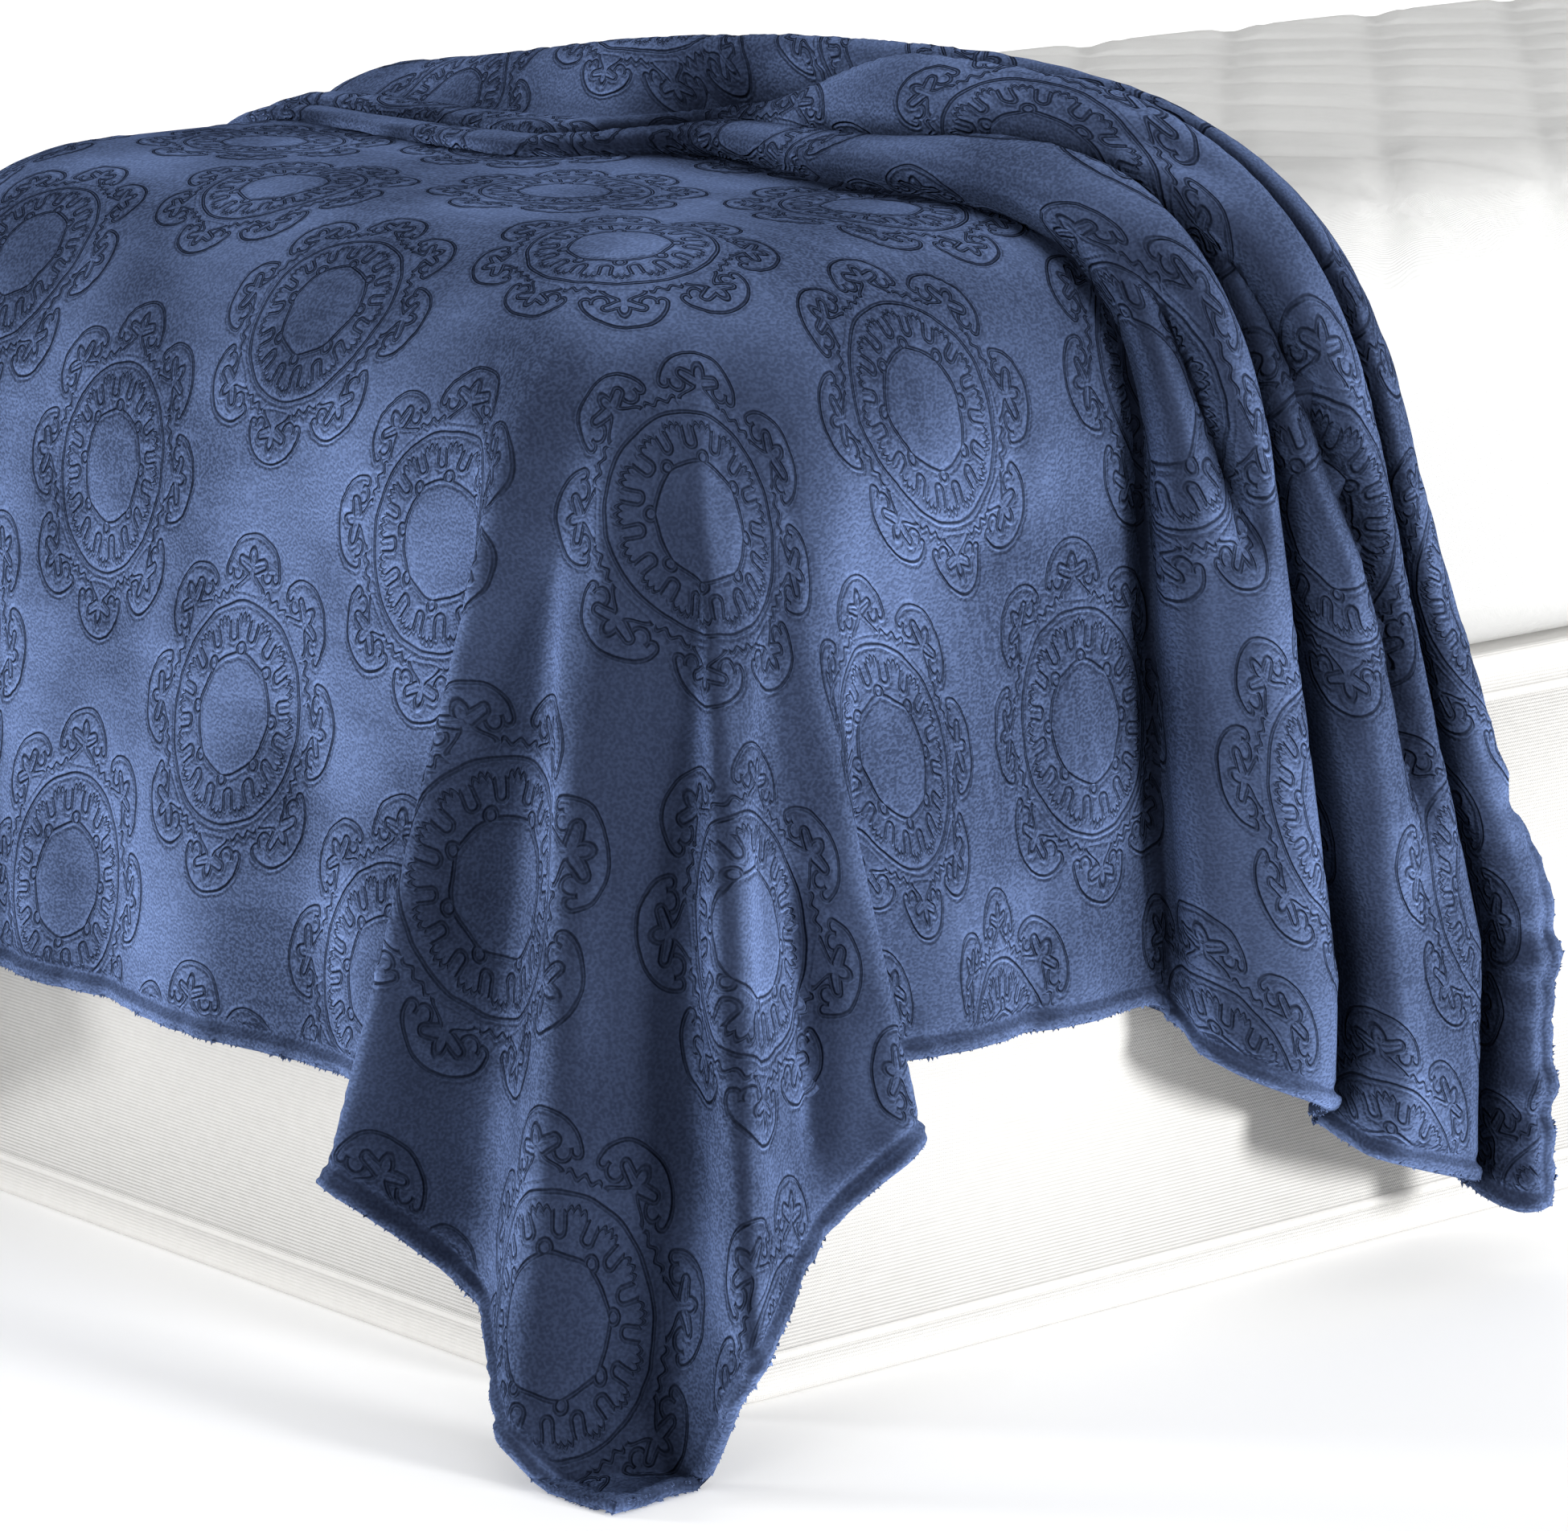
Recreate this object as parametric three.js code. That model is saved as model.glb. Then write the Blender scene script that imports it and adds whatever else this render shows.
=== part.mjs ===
// A plush throw blanket draped over the foot end of a plain single bed.
// Millimetres, +Z up. X runs along the bed from foot to head, Y across it from the near side to the far side.
// The shapes are worked out from the near foot corner of the bed, and the group moves that corner so that
// the origin is the middle of the bed's floor face.
import * as THREE from "three";

// Bed
const BED_LENGTH = 2000;
const BED_WIDTH = 900;
const BASE_HEIGHT = 400;
const BASE_INSET = 10;
const BASE_CORNER = 90;
const BED_TOP = 730;
const CROWN = 9;
const CROWN_RUN = 350;
const SEAT_GAP = 0.5;
const MATTRESS_CORNER = 200;
const MATTRESS_LEAST_CORNER = 30;
const MATTRESS_BOTTOM_ROUND = 45;

// Steps of the bed's rounded forms, and the insets of the rings on the mattress's top
const RING_STEPS = { corner: 6, end: 5, side: 12 };
const BOTTOM_ROUND_STEPS = 3;
const SHOULDER_STEPS = 10;
const TOP_RING_INSETS = [240, 320, 400];

// Blanket cloth
const THICKNESS = 5;
const CLOTH_LENGTH = 1400;
const DROP_FOOT = 670;
const DROP_NEAR = 635;
const DROP_FAR = 600;
const SHOULDER_ARC = 300;
const HANG_GAP = 12;
const REST_GAP = 4.5;
const FLOOR_GAP = 4;
const FLOOR_LEAST = 1;
const FLOOR_SPREAD = 0.9;
const ARC_STEPS = 300;
const TINY = 1e-6;

// Cells of the cloth's grid, from hem to hem. The gather's finer cells start a little past its first line.
const CELLS_ALONG = { foot: 25, flat: 3, gather: 33 };
const FINE_START = 240;
const CELLS_ACROSS = { near: 26, top: 8, far: 12 };

// Corner folds, in order from the foot face round to the side face. Each row is the lean of one fold line
// from the plumb line: out, away from the bed's corner, and side, towards the side face. It begins that far
// past the start of the shoulder, and has its full lean a run further down.
const CORNER_FOLDS = [
  { name: "foot face", out: 0, side: 0, begin: 20 },
  { name: "left tuck", out: 0.03, side: 0.03, begin: 20 },
  { name: "left ridge", out: 0.075, side: -0.238, begin: 20 },
  { name: "left valley", out: 0.1, side: -0.11, begin: 60 },
  { name: "middle ridge", out: 0.24, side: -0.085, begin: 60 },
  { name: "tip valley", out: 0.21, side: 0.03, begin: 60 },
  { name: "right ridge", out: 0.3, side: 0.08, begin: 70 },
  { name: "right valley", out: 0.16, side: 0.115, begin: 130 },
  { name: "outer ridge", out: 0.105, side: 0.225, begin: 160 },
  { name: "right tuck", out: 0.03, side: -0.03, begin: 160 },
  { name: "side face", out: 0, side: 0, begin: 160 },
];
const FAR_CORNER_FOLDS = [
  { name: "foot face", out: 0, side: 0, begin: 60 },
  { name: "left ridge", out: 0.13, side: -0.18, begin: 60 },
  { name: "valley", out: 0.16, side: -0.05, begin: 60 },
  { name: "tip ridge", out: 0.29, side: -0.02, begin: 60 },
  { name: "right valley", out: 0.16, side: 0.065, begin: 60 },
  { name: "right ridge", out: 0.11, side: 0.18, begin: 60 },
  { name: "side face", out: 0, side: 0, begin: 60 },
];
const CORNER_FOLD_RUN = 240;

// Gathered head end. The stations lie across the bed, by their way along the cloth from the near shoulder:
// negative on the top and the far side, positive down the near side. Each row is one line of the gathered
// folds: its distance from the foot edge and its height off the bed, at every station in that order.
const GATHER_START = 172;
const STATIONS = { far: -600, middle: -335, knot: -215, top: -50, edge: 140, hem: 620 };
const GATHER_FOLDS = [
  { name: "flat", fromFoot: [172, 172, 172, 172, 172, 172], height: [0, 0, 0, 0, 0, 0] },
  { name: "run in", fromFoot: [250, 235, 310, 300, 310, 350], height: [0, 0, 0, 0, 0, 0] },
  { name: "front line", fromFoot: [312, 292, 385, 376, 398, 432], height: [2, 2, 3, 3, 2, 0] },
  { name: "front roll", fromFoot: [305, 284, 372, 360, 386, 438], height: [7, 9, 14, 18, 25, 52] },
  { name: "front crest", fromFoot: [323, 306, 396, 390, 434, 505], height: [10, 13, 24, 36, 55, 80] },
  { name: "first valley", fromFoot: [340, 328, 416, 414, 462, 545], height: [5, 7, 10, 12, 12, 25] },
  { name: "second roll", fromFoot: [335, 318, 402, 398, 452, 550], height: [12, 15, 26, 50, 52, 68] },
  { name: "second crest", fromFoot: [360, 345, 408, 424, 500, 640], height: [16, 20, 34, 88, 76, 82] },
  { name: "second valley", fromFoot: [380, 372, 430, 446, 530, 676], height: [10, 12, 18, 24, 20, 45] },
  { name: "back crest", fromFoot: [420, 400, 438, 462, 528, 676], height: [30, 64, 76, 86, 64, 72] },
  { name: "back slope", fromFoot: [480, 468, 494, 512, 556, 694], height: [28, 50, 56, 58, 52, 88] },
  { name: "turn", fromFoot: [650, 640, 606, 562, 580, 710], height: [12, 16, 20, 22, 24, 85] },
  { name: "end", fromFoot: [440, 460, 465, 470, 500, 738], height: [5, 5, 5, 6, 6, 65] },
];
const CURVE_STEPS = 8;
const PULL = { reach: 175, start: 250, run: 450, power: 0.8, fadeStart: -450, fadeRun: 500 };

// Soft ridges down the hanging faces: their place along the face, half width and how far the hem stands out.
// They fade out towards the corners and, on the near face, towards the gathered folds.
const FOOT_RIPPLES = [
  { place: 250, half: 90, out: 7 },
  { place: 450, half: 120, out: 16 },
  { place: 640, half: 70, out: 9 },
];
const NEAR_RIPPLES = [
  { place: 250, half: 60, out: 8 },
  { place: 352, half: 45, out: 6 },
];
const RIPPLE_FADE = 80;
const NEAR_RIPPLE_END = 440;

function smoothstep(value) {
  const t = Math.min(Math.max(value, 0), 1);
  return t * t * (3 - 2 * t);
}

// Linear look-up in a rising list of keys.
function lookUp(keys, values, key) {
  let i = 0;
  while (i < keys.length - 2 && keys[i + 1] < key) i += 1;
  const t = Math.min(Math.max((key - keys[i]) / (keys[i + 1] - keys[i]), 0), 1);
  return values[i] + t * (values[i + 1] - values[i]);
}

// The rounded shoulder from the flat top to the hanging face, by arc length: how far out and down the cloth
// has come, and its turn from level.
const shoulder = (() => {
  const arc = [0];
  const out = [0];
  const down = [0];
  const turn = [0];
  const step = SHOULDER_ARC / ARC_STEPS;
  for (let i = 1; i <= ARC_STEPS; i += 1) {
    const middle = (Math.PI / 2) * smoothstep((i - 0.5) / ARC_STEPS);
    arc.push(i * step);
    out.push(out[i - 1] + step * Math.cos(middle));
    down.push(down[i - 1] + step * Math.sin(middle));
    turn.push((Math.PI / 2) * smoothstep(i / ARC_STEPS));
  }
  return {
    reach: out[ARC_STEPS],
    out: (s) => lookUp(arc, out, s),
    down: (s) => lookUp(arc, down, s) + Math.max(s - SHOULDER_ARC, 0),
    turn: (s) => lookUp(arc, turn, s),
  };
})();

// Distance in from the bed's edges at which the shoulders start, and the cloth's extent from the foot corner.
const SHOULDER_START = shoulder.reach - HANG_GAP;
const FLAT_WIDTH = BED_WIDTH - 2 * SHOULDER_START;
const ALONG_FIRST = SHOULDER_START - DROP_FOOT;
const ALONG_LAST = ALONG_FIRST + CLOTH_LENGTH;
const ACROSS_FIRST = SHOULDER_START - DROP_NEAR;
const ACROSS_LAST = BED_WIDTH - SHOULDER_START + DROP_FAR;

// Gentle crown of the mattress at a point of the top.
function crownAt(x, y) {
  const across = Math.min(Math.max((y - SHOULDER_START) / FLAT_WIDTH, 0), 1);
  const fromFoot = smoothstep((x - SHOULDER_START) / CROWN_RUN);
  const fromHead = smoothstep((BED_LENGTH - SHOULDER_START - x) / CROWN_RUN);
  return CROWN * Math.sin(Math.PI * across) ** 2 * fromFoot * fromHead;
}

// Samples of a smooth curve through 2D points.
function smoothCurve(points) {
  const last = points.length - 1;
  const chord = [];
  for (let i = 0; i < last; i += 1) {
    const [a, b] = [points[i], points[i + 1]];
    chord.push(Math.max(Math.hypot(b[0] - a[0], b[1] - a[1]), TINY));
  }
  const slope = (i, axis) => (points[i + 1][axis] - points[i][axis]) / chord[i];
  const tangent = (i, axis) => {
    if (i === 0) return slope(0, axis);
    if (i === last) return slope(last - 1, axis);
    const before = chord[i - 1];
    const after = chord[i];
    return (slope(i - 1, axis) * after + slope(i, axis) * before) / (before + after);
  };
  const samples = [];
  for (let i = 0; i < last; i += 1) {
    for (let step = 0; step < CURVE_STEPS; step += 1) {
      const t = step / CURVE_STEPS;
      const a = 2 * t ** 3 - 3 * t ** 2 + 1;
      const b = (t ** 3 - 2 * t ** 2 + t) * chord[i];
      const c = 3 * t ** 2 - 2 * t ** 3;
      const d = (t ** 3 - t ** 2) * chord[i];
      const at = (axis) =>
        a * points[i][axis] + b * tangent(i, axis) + c * points[i + 1][axis] + d * tangent(i + 1, axis);
      samples.push([at(0), at(1)]);
    }
  }
  samples.push(points[last]);
  return samples;
}

// The corner's fold lines on the unit sphere: the lean, and where it begins, at each share of the quarter turn.
function cornerFan(folds) {
  const samples = smoothCurve(folds.map((fold) => [fold.out, fold.side]));
  const plumb = (lean) => Math.sqrt(1 - lean[0] ** 2 - lean[1] ** 2);
  const way = [0];
  for (let i = 1; i < samples.length; i += 1) {
    const [a, b] = [samples[i - 1], samples[i]];
    way.push(way[i - 1] + Math.hypot(b[0] - a[0], b[1] - a[1], plumb(b) - plumb(a)));
  }
  const out = samples.map((lean) => lean[0]);
  const side = samples.map((lean) => lean[1]);
  const rows = folds.map((_, i) => i);
  const begins = folds.map((fold) => fold.begin);
  const begin = samples.map((_, i) => lookUp(rows, begins, i / CURVE_STEPS));
  return (share) => {
    const key = share * way[way.length - 1];
    return [lookUp(way, out, key), lookUp(way, side, key), lookUp(way, begin, key)];
  };
}

const nearFan = cornerFan(CORNER_FOLDS);
const farFan = cornerFan(FAR_CORNER_FOLDS);

// Cloth that hangs past both the foot edge and a side edge, by its lengths past the two shoulder lines.
// The side edge is at y = 0 and the bed lies towards +Y.
function cornerPoint(fan, pastFoot, pastSide) {
  const radius = Math.hypot(pastFoot, pastSide);
  const angle = Math.atan2(pastSide, pastFoot);
  const [out, side, begin] = fan(angle / (Math.PI / 2));
  const leanX = (side - out) / Math.SQRT2;
  const leanY = (-side - out) / Math.SQRT2;
  const plumb = Math.sqrt(1 - out ** 2 - side ** 2);
  const t = Math.min(Math.max((radius - begin) / CORNER_FOLD_RUN, 0), 1);
  const free = CORNER_FOLD_RUN * (t ** 3 - t ** 4 / 2) + Math.max(radius - begin - CORNER_FOLD_RUN, 0);
  const height = BED_TOP - shoulder.down(radius) + (1 - plumb) * free;
  const lean = Math.max(Math.hypot(leanX, leanY), TINY);
  const spread = (FLOOR_SPREAD * Math.max(FLOOR_GAP - height, 0)) / lean;
  return [
    SHOULDER_START - shoulder.out(radius) * Math.cos(angle) + (free + spread) * leanX,
    SHOULDER_START - shoulder.out(radius) * Math.sin(angle) + (free + spread) * leanY,
    Math.max(height, FLOOR_GAP),
  ];
}

// Soft ridges of a hanging face at a place along it, growing from the shoulder to the hem.
function rippleAt(ripples, place, hang) {
  const grown = smoothstep((hang - SHOULDER_ARC / 2) / (DROP_FOOT - SHOULDER_ARC / 2));
  let out = 0;
  for (const ripple of ripples) {
    const t = Math.max(1 - ((place - ripple.place) / ripple.half) ** 2, 0);
    out += ripple.out * t * t;
  }
  return out * grown;
}

// The bed's cross-section at a way along the cloth from the near shoulder: place, height and turn from level.
function bedPath(way) {
  const near = Math.max(way, 0);
  const far = Math.max(-way - FLAT_WIDTH, 0);
  const flat = Math.min(Math.max(-way, 0), FLAT_WIDTH);
  return {
    y: SHOULDER_START + flat - shoulder.out(near) + shoulder.out(far),
    z: BED_TOP - shoulder.down(near) - shoulder.down(far),
    turn: shoulder.turn(near) - shoulder.turn(far),
  };
}

// Value at a way across the bed of a curve through one value for each station, with no overshoot.
function acrossStations(values, way) {
  const keys = Object.values(STATIONS);
  const last = keys.length - 1;
  const at = Math.min(Math.max(way, keys[0]), keys[last]);
  const secant = (i) => (values[i + 1] - values[i]) / (keys[i + 1] - keys[i]);
  const slope = (i) => {
    if (i === 0) return secant(0);
    if (i === last) return secant(last - 1);
    const before = secant(i - 1);
    const after = secant(i);
    return before * after > 0 ? (2 * before * after) / (before + after) : 0;
  };
  let i = 0;
  while (i < last - 1 && keys[i + 1] < at) i += 1;
  const step = keys[i + 1] - keys[i];
  const t = (at - keys[i]) / step;
  return (
    (2 * t ** 3 - 3 * t ** 2 + 1) * values[i] +
    (t ** 3 - 2 * t ** 2 + t) * step * slope(i) +
    (3 * t ** 2 - 2 * t ** 3) * values[i + 1] +
    (t ** 3 - t ** 2) * step * slope(i + 1)
  );
}

// The gathered section at a way across the bed: distance from the foot edge and height off the bed, for a
// length of cloth past the start of the gathering.
function gatherSection(way, length) {
  const points = GATHER_FOLDS.map((fold) => [
    acrossStations(fold.fromFoot, way),
    acrossStations(fold.height, way),
  ]);
  const samples = smoothCurve(points);
  let left = length;
  let i = 0;
  let chord = 0;
  for (; i < samples.length - 1; i += 1) {
    chord = Math.hypot(samples[i + 1][0] - samples[i][0], samples[i + 1][1] - samples[i][1]);
    if (left <= chord || i === samples.length - 2) break;
    left -= chord;
  }
  const t = left / chord;
  return [
    samples[i][0] + t * (samples[i + 1][0] - samples[i][0]),
    Math.max(samples[i][1] + Math.min(t, 1) * (samples[i + 1][1] - samples[i][1]), 0),
  ];
}

// Cloth that lies on the top and hangs down the two long sides, gathered towards the head end.
function lyingPoint(along, across) {
  const length = Math.max(along - GATHER_START, 0);
  const grown = Math.min(Math.max((length - PULL.start) / PULL.run, 0), 1) ** PULL.power;
  const past = SHOULDER_START - across;
  const way = past + PULL.reach * grown * smoothstep((past - PULL.fadeStart) / PULL.fadeRun);
  const [x, off] = length > 0 ? gatherSection(way, length) : [along, 0];
  const path = bedPath(way);
  const fade = smoothstep((NEAR_RIPPLE_END - along) / RIPPLE_FADE);
  const proud = off + fade * rippleAt(NEAR_RIPPLES, x, way);
  const height = path.z + proud * Math.cos(path.turn) + crownAt(x, path.y);
  const spread = FLOOR_SPREAD * Math.max(FLOOR_GAP - height, 0);
  return [x, path.y - proud * Math.sin(path.turn) - spread, Math.max(height, FLOOR_GAP)];
}

// Middle of the cloth at its flat coordinates, measured from the bed's near foot corner.
function clothPoint(along, across) {
  const pastFoot = SHOULDER_START - along;
  const pastNear = SHOULDER_START - across;
  const pastFar = across - (BED_WIDTH - SHOULDER_START);
  if (pastFoot <= 0) return lyingPoint(along, across);
  if (pastNear > 0) return cornerPoint(nearFan, pastFoot, pastNear);
  if (pastFar > 0) {
    const [x, y, z] = cornerPoint(farFan, pastFoot, pastFar);
    return [x, BED_WIDTH - y, z];
  }
  const fade = smoothstep(-pastNear / RIPPLE_FADE) * smoothstep(-pastFar / RIPPLE_FADE);
  const out = shoulder.out(pastFoot) + fade * rippleAt(FOOT_RIPPLES, across, pastFoot);
  return [SHOULDER_START - out, across, BED_TOP - shoulder.down(pastFoot)];
}

// Evenly stepped grid lines over stretches that follow each other.
function gridLines(ends, cells) {
  const lines = [ends[0]];
  cells.forEach((count, i) => {
    for (let step = 1; step <= count; step += 1) {
      lines.push(ends[i] + ((ends[i + 1] - ends[i]) * step) / count);
    }
  });
  return lines;
}

// One closed sheet of the cloth's thickness on a grid of its flat coordinates.
function blanketGeometry() {
  const along = gridLines(
    [ALONG_FIRST, SHOULDER_START, FINE_START, ALONG_LAST],
    [CELLS_ALONG.foot, CELLS_ALONG.flat, CELLS_ALONG.gather],
  );
  const across = gridLines(
    [ACROSS_FIRST, SHOULDER_START, BED_WIDTH - SHOULDER_START, ACROSS_LAST],
    [CELLS_ACROSS.near, CELLS_ACROSS.top, CELLS_ACROSS.far],
  );
  const rows = along.length;
  const columns = across.length;
  const at = (i, j) => new THREE.Vector3(...clothPoint(along[i], across[j]));
  const middle = along.map((_, i) => across.map((__, j) => at(i, j)));
  const upper = [];
  const lower = [];
  const clampRow = (i) => Math.min(Math.max(i, 0), rows - 1);
  const clampColumn = (j) => Math.min(Math.max(j, 0), columns - 1);
  for (let i = 0; i < rows; i += 1) {
    for (let j = 0; j < columns; j += 1) {
      const alongStep = middle[clampRow(i + 1)][j].clone().sub(middle[clampRow(i - 1)][j]);
      const acrossStep = middle[i][clampColumn(j + 1)].clone().sub(middle[i][clampColumn(j - 1)]);
      const half = alongStep.cross(acrossStep).setLength(THICKNESS / 2);
      upper.push(middle[i][j].clone().add(half));
      lower.push(middle[i][j].clone().sub(half));
    }
  }
  for (const point of [...upper, ...lower]) point.z = Math.max(point.z, FLOOR_LEAST);

  const vertices = [...upper, ...lower].flatMap((point) => point.toArray());
  const index = [];
  const top = (i, j) => i * columns + j;
  const under = (i, j) => rows * columns + top(i, j);
  const quad = (a, b, c, d) => index.push(a, b, c, a, c, d);
  for (let i = 0; i < rows - 1; i += 1) {
    for (let j = 0; j < columns - 1; j += 1) {
      quad(top(i, j), top(i + 1, j), top(i + 1, j + 1), top(i, j + 1));
      quad(under(i, j), under(i, j + 1), under(i + 1, j + 1), under(i + 1, j));
    }
  }
  for (let i = 0; i < rows - 1; i += 1) {
    quad(top(i, 0), under(i, 0), under(i + 1, 0), top(i + 1, 0));
    quad(top(i + 1, columns - 1), under(i + 1, columns - 1), under(i, columns - 1), top(i, columns - 1));
  }
  for (let j = 0; j < columns - 1; j += 1) {
    quad(top(0, j + 1), under(0, j + 1), under(0, j), top(0, j));
    quad(top(rows - 1, j), under(rows - 1, j), under(rows - 1, j + 1), top(rows - 1, j + 1));
  }
  const geometry = new THREE.BufferGeometry();
  geometry.setAttribute("position", new THREE.Float32BufferAttribute(vertices, 3));
  geometry.setIndex(index);
  geometry.computeVertexNormals();
  return geometry;
}

// Points round a rectangle with rounded corners, counter-clockwise, set in from the bed's edges.
function roundedRing(inset, radius) {
  const points = [];
  const centres = [
    [BED_LENGTH - inset - radius, inset + radius, -90],
    [BED_LENGTH - inset - radius, BED_WIDTH - inset - radius, 0],
    [inset + radius, BED_WIDTH - inset - radius, 90],
    [inset + radius, inset + radius, 180],
  ];
  centres.forEach(([x, y, from], corner) => {
    for (let step = 0; step <= RING_STEPS.corner; step += 1) {
      const angle = THREE.MathUtils.degToRad(from + (90 * step) / RING_STEPS.corner);
      points.push([x + radius * Math.cos(angle), y + radius * Math.sin(angle)]);
    }
    const [nextX, nextY, nextFrom] = centres[(corner + 1) % centres.length];
    const angle = THREE.MathUtils.degToRad(nextFrom);
    const start = points[points.length - 1];
    const end = [nextX + radius * Math.cos(angle), nextY + radius * Math.sin(angle)];
    const steps = corner % 2 === 0 ? RING_STEPS.end : RING_STEPS.side;
    for (let step = 1; step < steps; step += 1) {
      const t = step / steps;
      points.push([start[0] + t * (end[0] - start[0]), start[1] + t * (end[1] - start[1])]);
    }
  });
  return points;
}

// A soft mattress: rings from the middle of its flat underside, up its sides, over its rounded shoulders to
// the crowned top.
function mattressGeometry() {
  const bottom = BASE_HEIGHT + SEAT_GAP;
  const rim = BED_TOP - REST_GAP;
  const rings = [{ inset: MATTRESS_BOTTOM_ROUND, z: bottom }];
  for (let step = 1; step <= BOTTOM_ROUND_STEPS; step += 1) {
    const angle = ((Math.PI / 2) * step) / BOTTOM_ROUND_STEPS;
    rings.push({
      inset: MATTRESS_BOTTOM_ROUND * (1 - Math.sin(angle)),
      z: bottom + MATTRESS_BOTTOM_ROUND * (1 - Math.cos(angle)),
    });
  }
  for (let step = SHOULDER_STEPS; step >= 0; step -= 1) {
    const arc = (SHOULDER_ARC * step) / SHOULDER_STEPS;
    const inset = SHOULDER_START * (1 - shoulder.out(arc) / shoulder.reach);
    rings.push({ inset, z: rim - shoulder.down(arc) });
  }
  for (const inset of TOP_RING_INSETS) rings.push({ inset, z: rim });

  const loops = rings.map(({ inset, z }) => {
    const ring = roundedRing(inset, Math.max(MATTRESS_CORNER - inset, MATTRESS_LEAST_CORNER));
    return ring.map(([x, y]) => [x, y, z === rim ? z + crownAt(x, y) : z]);
  });
  const count = loops[0].length;
  const vertices = loops.flat(2);
  const index = [];
  for (let ring = 0; ring < loops.length - 1; ring += 1) {
    for (let i = 0; i < count; i += 1) {
      const next = (i + 1) % count;
      const [a, b] = [ring * count + i, ring * count + next];
      index.push(a, b, b + count, a, b + count, a + count);
    }
  }
  const cap = (ring, z, flip) => {
    const centre = vertices.length / 3;
    vertices.push(BED_LENGTH / 2, BED_WIDTH / 2, z);
    for (let i = 0; i < count; i += 1) {
      const [a, b] = [ring * count + i, ring * count + ((i + 1) % count)];
      index.push(...(flip ? [b, a, centre] : [a, b, centre]));
    }
  };
  cap(0, bottom, true);
  cap(loops.length - 1, rim + crownAt(BED_LENGTH / 2, BED_WIDTH / 2), false);
  const geometry = new THREE.BufferGeometry();
  geometry.setAttribute("position", new THREE.Float32BufferAttribute(vertices, 3));
  geometry.setIndex(index);
  geometry.computeVertexNormals();
  return geometry;
}

// The plain upholstered base that stands on the floor.
function baseGeometry() {
  const outline = roundedRing(BASE_INSET, BASE_CORNER).map(([x, y]) => new THREE.Vector2(x, y));
  return new THREE.ExtrudeGeometry(new THREE.Shape(outline), { depth: BASE_HEIGHT, bevelEnabled: false });
}

function piece(name, geometry, look) {
  const mesh = new THREE.Mesh(geometry, new THREE.MeshStandardMaterial(look));
  mesh.name = name;
  return mesh;
}

const bed = new THREE.Group();
bed.add(
  piece("blanket", blanketGeometry(), { color: 0x3d4f80, roughness: 0.95, metalness: 0 }),
  piece("mattress", mattressGeometry(), { color: 0xf1efea, roughness: 0.9, metalness: 0 }),
  piece("bed_base", baseGeometry(), { color: 0xe9e6e0, roughness: 0.9, metalness: 0 }),
);
bed.position.set(-BED_LENGTH / 2, -BED_WIDTH / 2, 0);

const part = new THREE.Group();
part.add(bed);

export default part;
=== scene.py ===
import math

import bpy
import numpy as np
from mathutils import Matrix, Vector
from mathutils.bvhtree import BVHTree


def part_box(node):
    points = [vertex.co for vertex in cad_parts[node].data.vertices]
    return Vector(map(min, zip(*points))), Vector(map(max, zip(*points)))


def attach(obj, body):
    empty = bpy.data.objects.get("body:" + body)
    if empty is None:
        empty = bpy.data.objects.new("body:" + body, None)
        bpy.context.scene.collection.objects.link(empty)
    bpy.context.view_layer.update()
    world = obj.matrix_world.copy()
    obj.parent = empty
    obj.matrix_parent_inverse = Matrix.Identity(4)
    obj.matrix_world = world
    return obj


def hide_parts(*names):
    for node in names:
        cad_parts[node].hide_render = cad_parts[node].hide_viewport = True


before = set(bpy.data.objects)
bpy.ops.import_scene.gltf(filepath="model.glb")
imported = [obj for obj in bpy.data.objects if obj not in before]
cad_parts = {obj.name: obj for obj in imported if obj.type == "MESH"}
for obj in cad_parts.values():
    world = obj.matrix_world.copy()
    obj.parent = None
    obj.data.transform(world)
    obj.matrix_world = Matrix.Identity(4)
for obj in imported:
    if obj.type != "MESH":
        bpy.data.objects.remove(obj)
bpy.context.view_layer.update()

MM = 0.001
TINY = 1e-9


def table(columns, rows):
    """Rows of a short table, with each value under its column's name."""
    return [dict(zip(columns, row)) for row in rows]


# The bed, from the frame: the near foot corner of the mattress is the origin of every bed-local size
mattress_low, mattress_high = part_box("mattress")
base_low, base_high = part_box("bed_base")
BED_ORIGIN = np.array([mattress_low.x, mattress_low.y, 0.0])
BED_LENGTH = mattress_high.x - mattress_low.x
BED_WIDTH = mattress_high.y - mattress_low.y
BED_TOP = 0.73
CROWN = 0.009
CROWN_RUN = 0.35

# The blanket's cut, and how it lies on the bed
CLOTH_LENGTH = 1.4
CLOTH_HALF = 0.0025
DROP_FOOT = 0.67
DROP_NEAR = 0.635
DROP_FAR = 0.60
SHOULDER_ARC = 0.30
ARC_STEPS = 300
HANG_GAP = 0.012
REST_GAP = 0.0045
FLOOR_GAP = 0.004
FLOOR_LEAST = 0.001
FLOOR_SPREAD = 0.9

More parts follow.
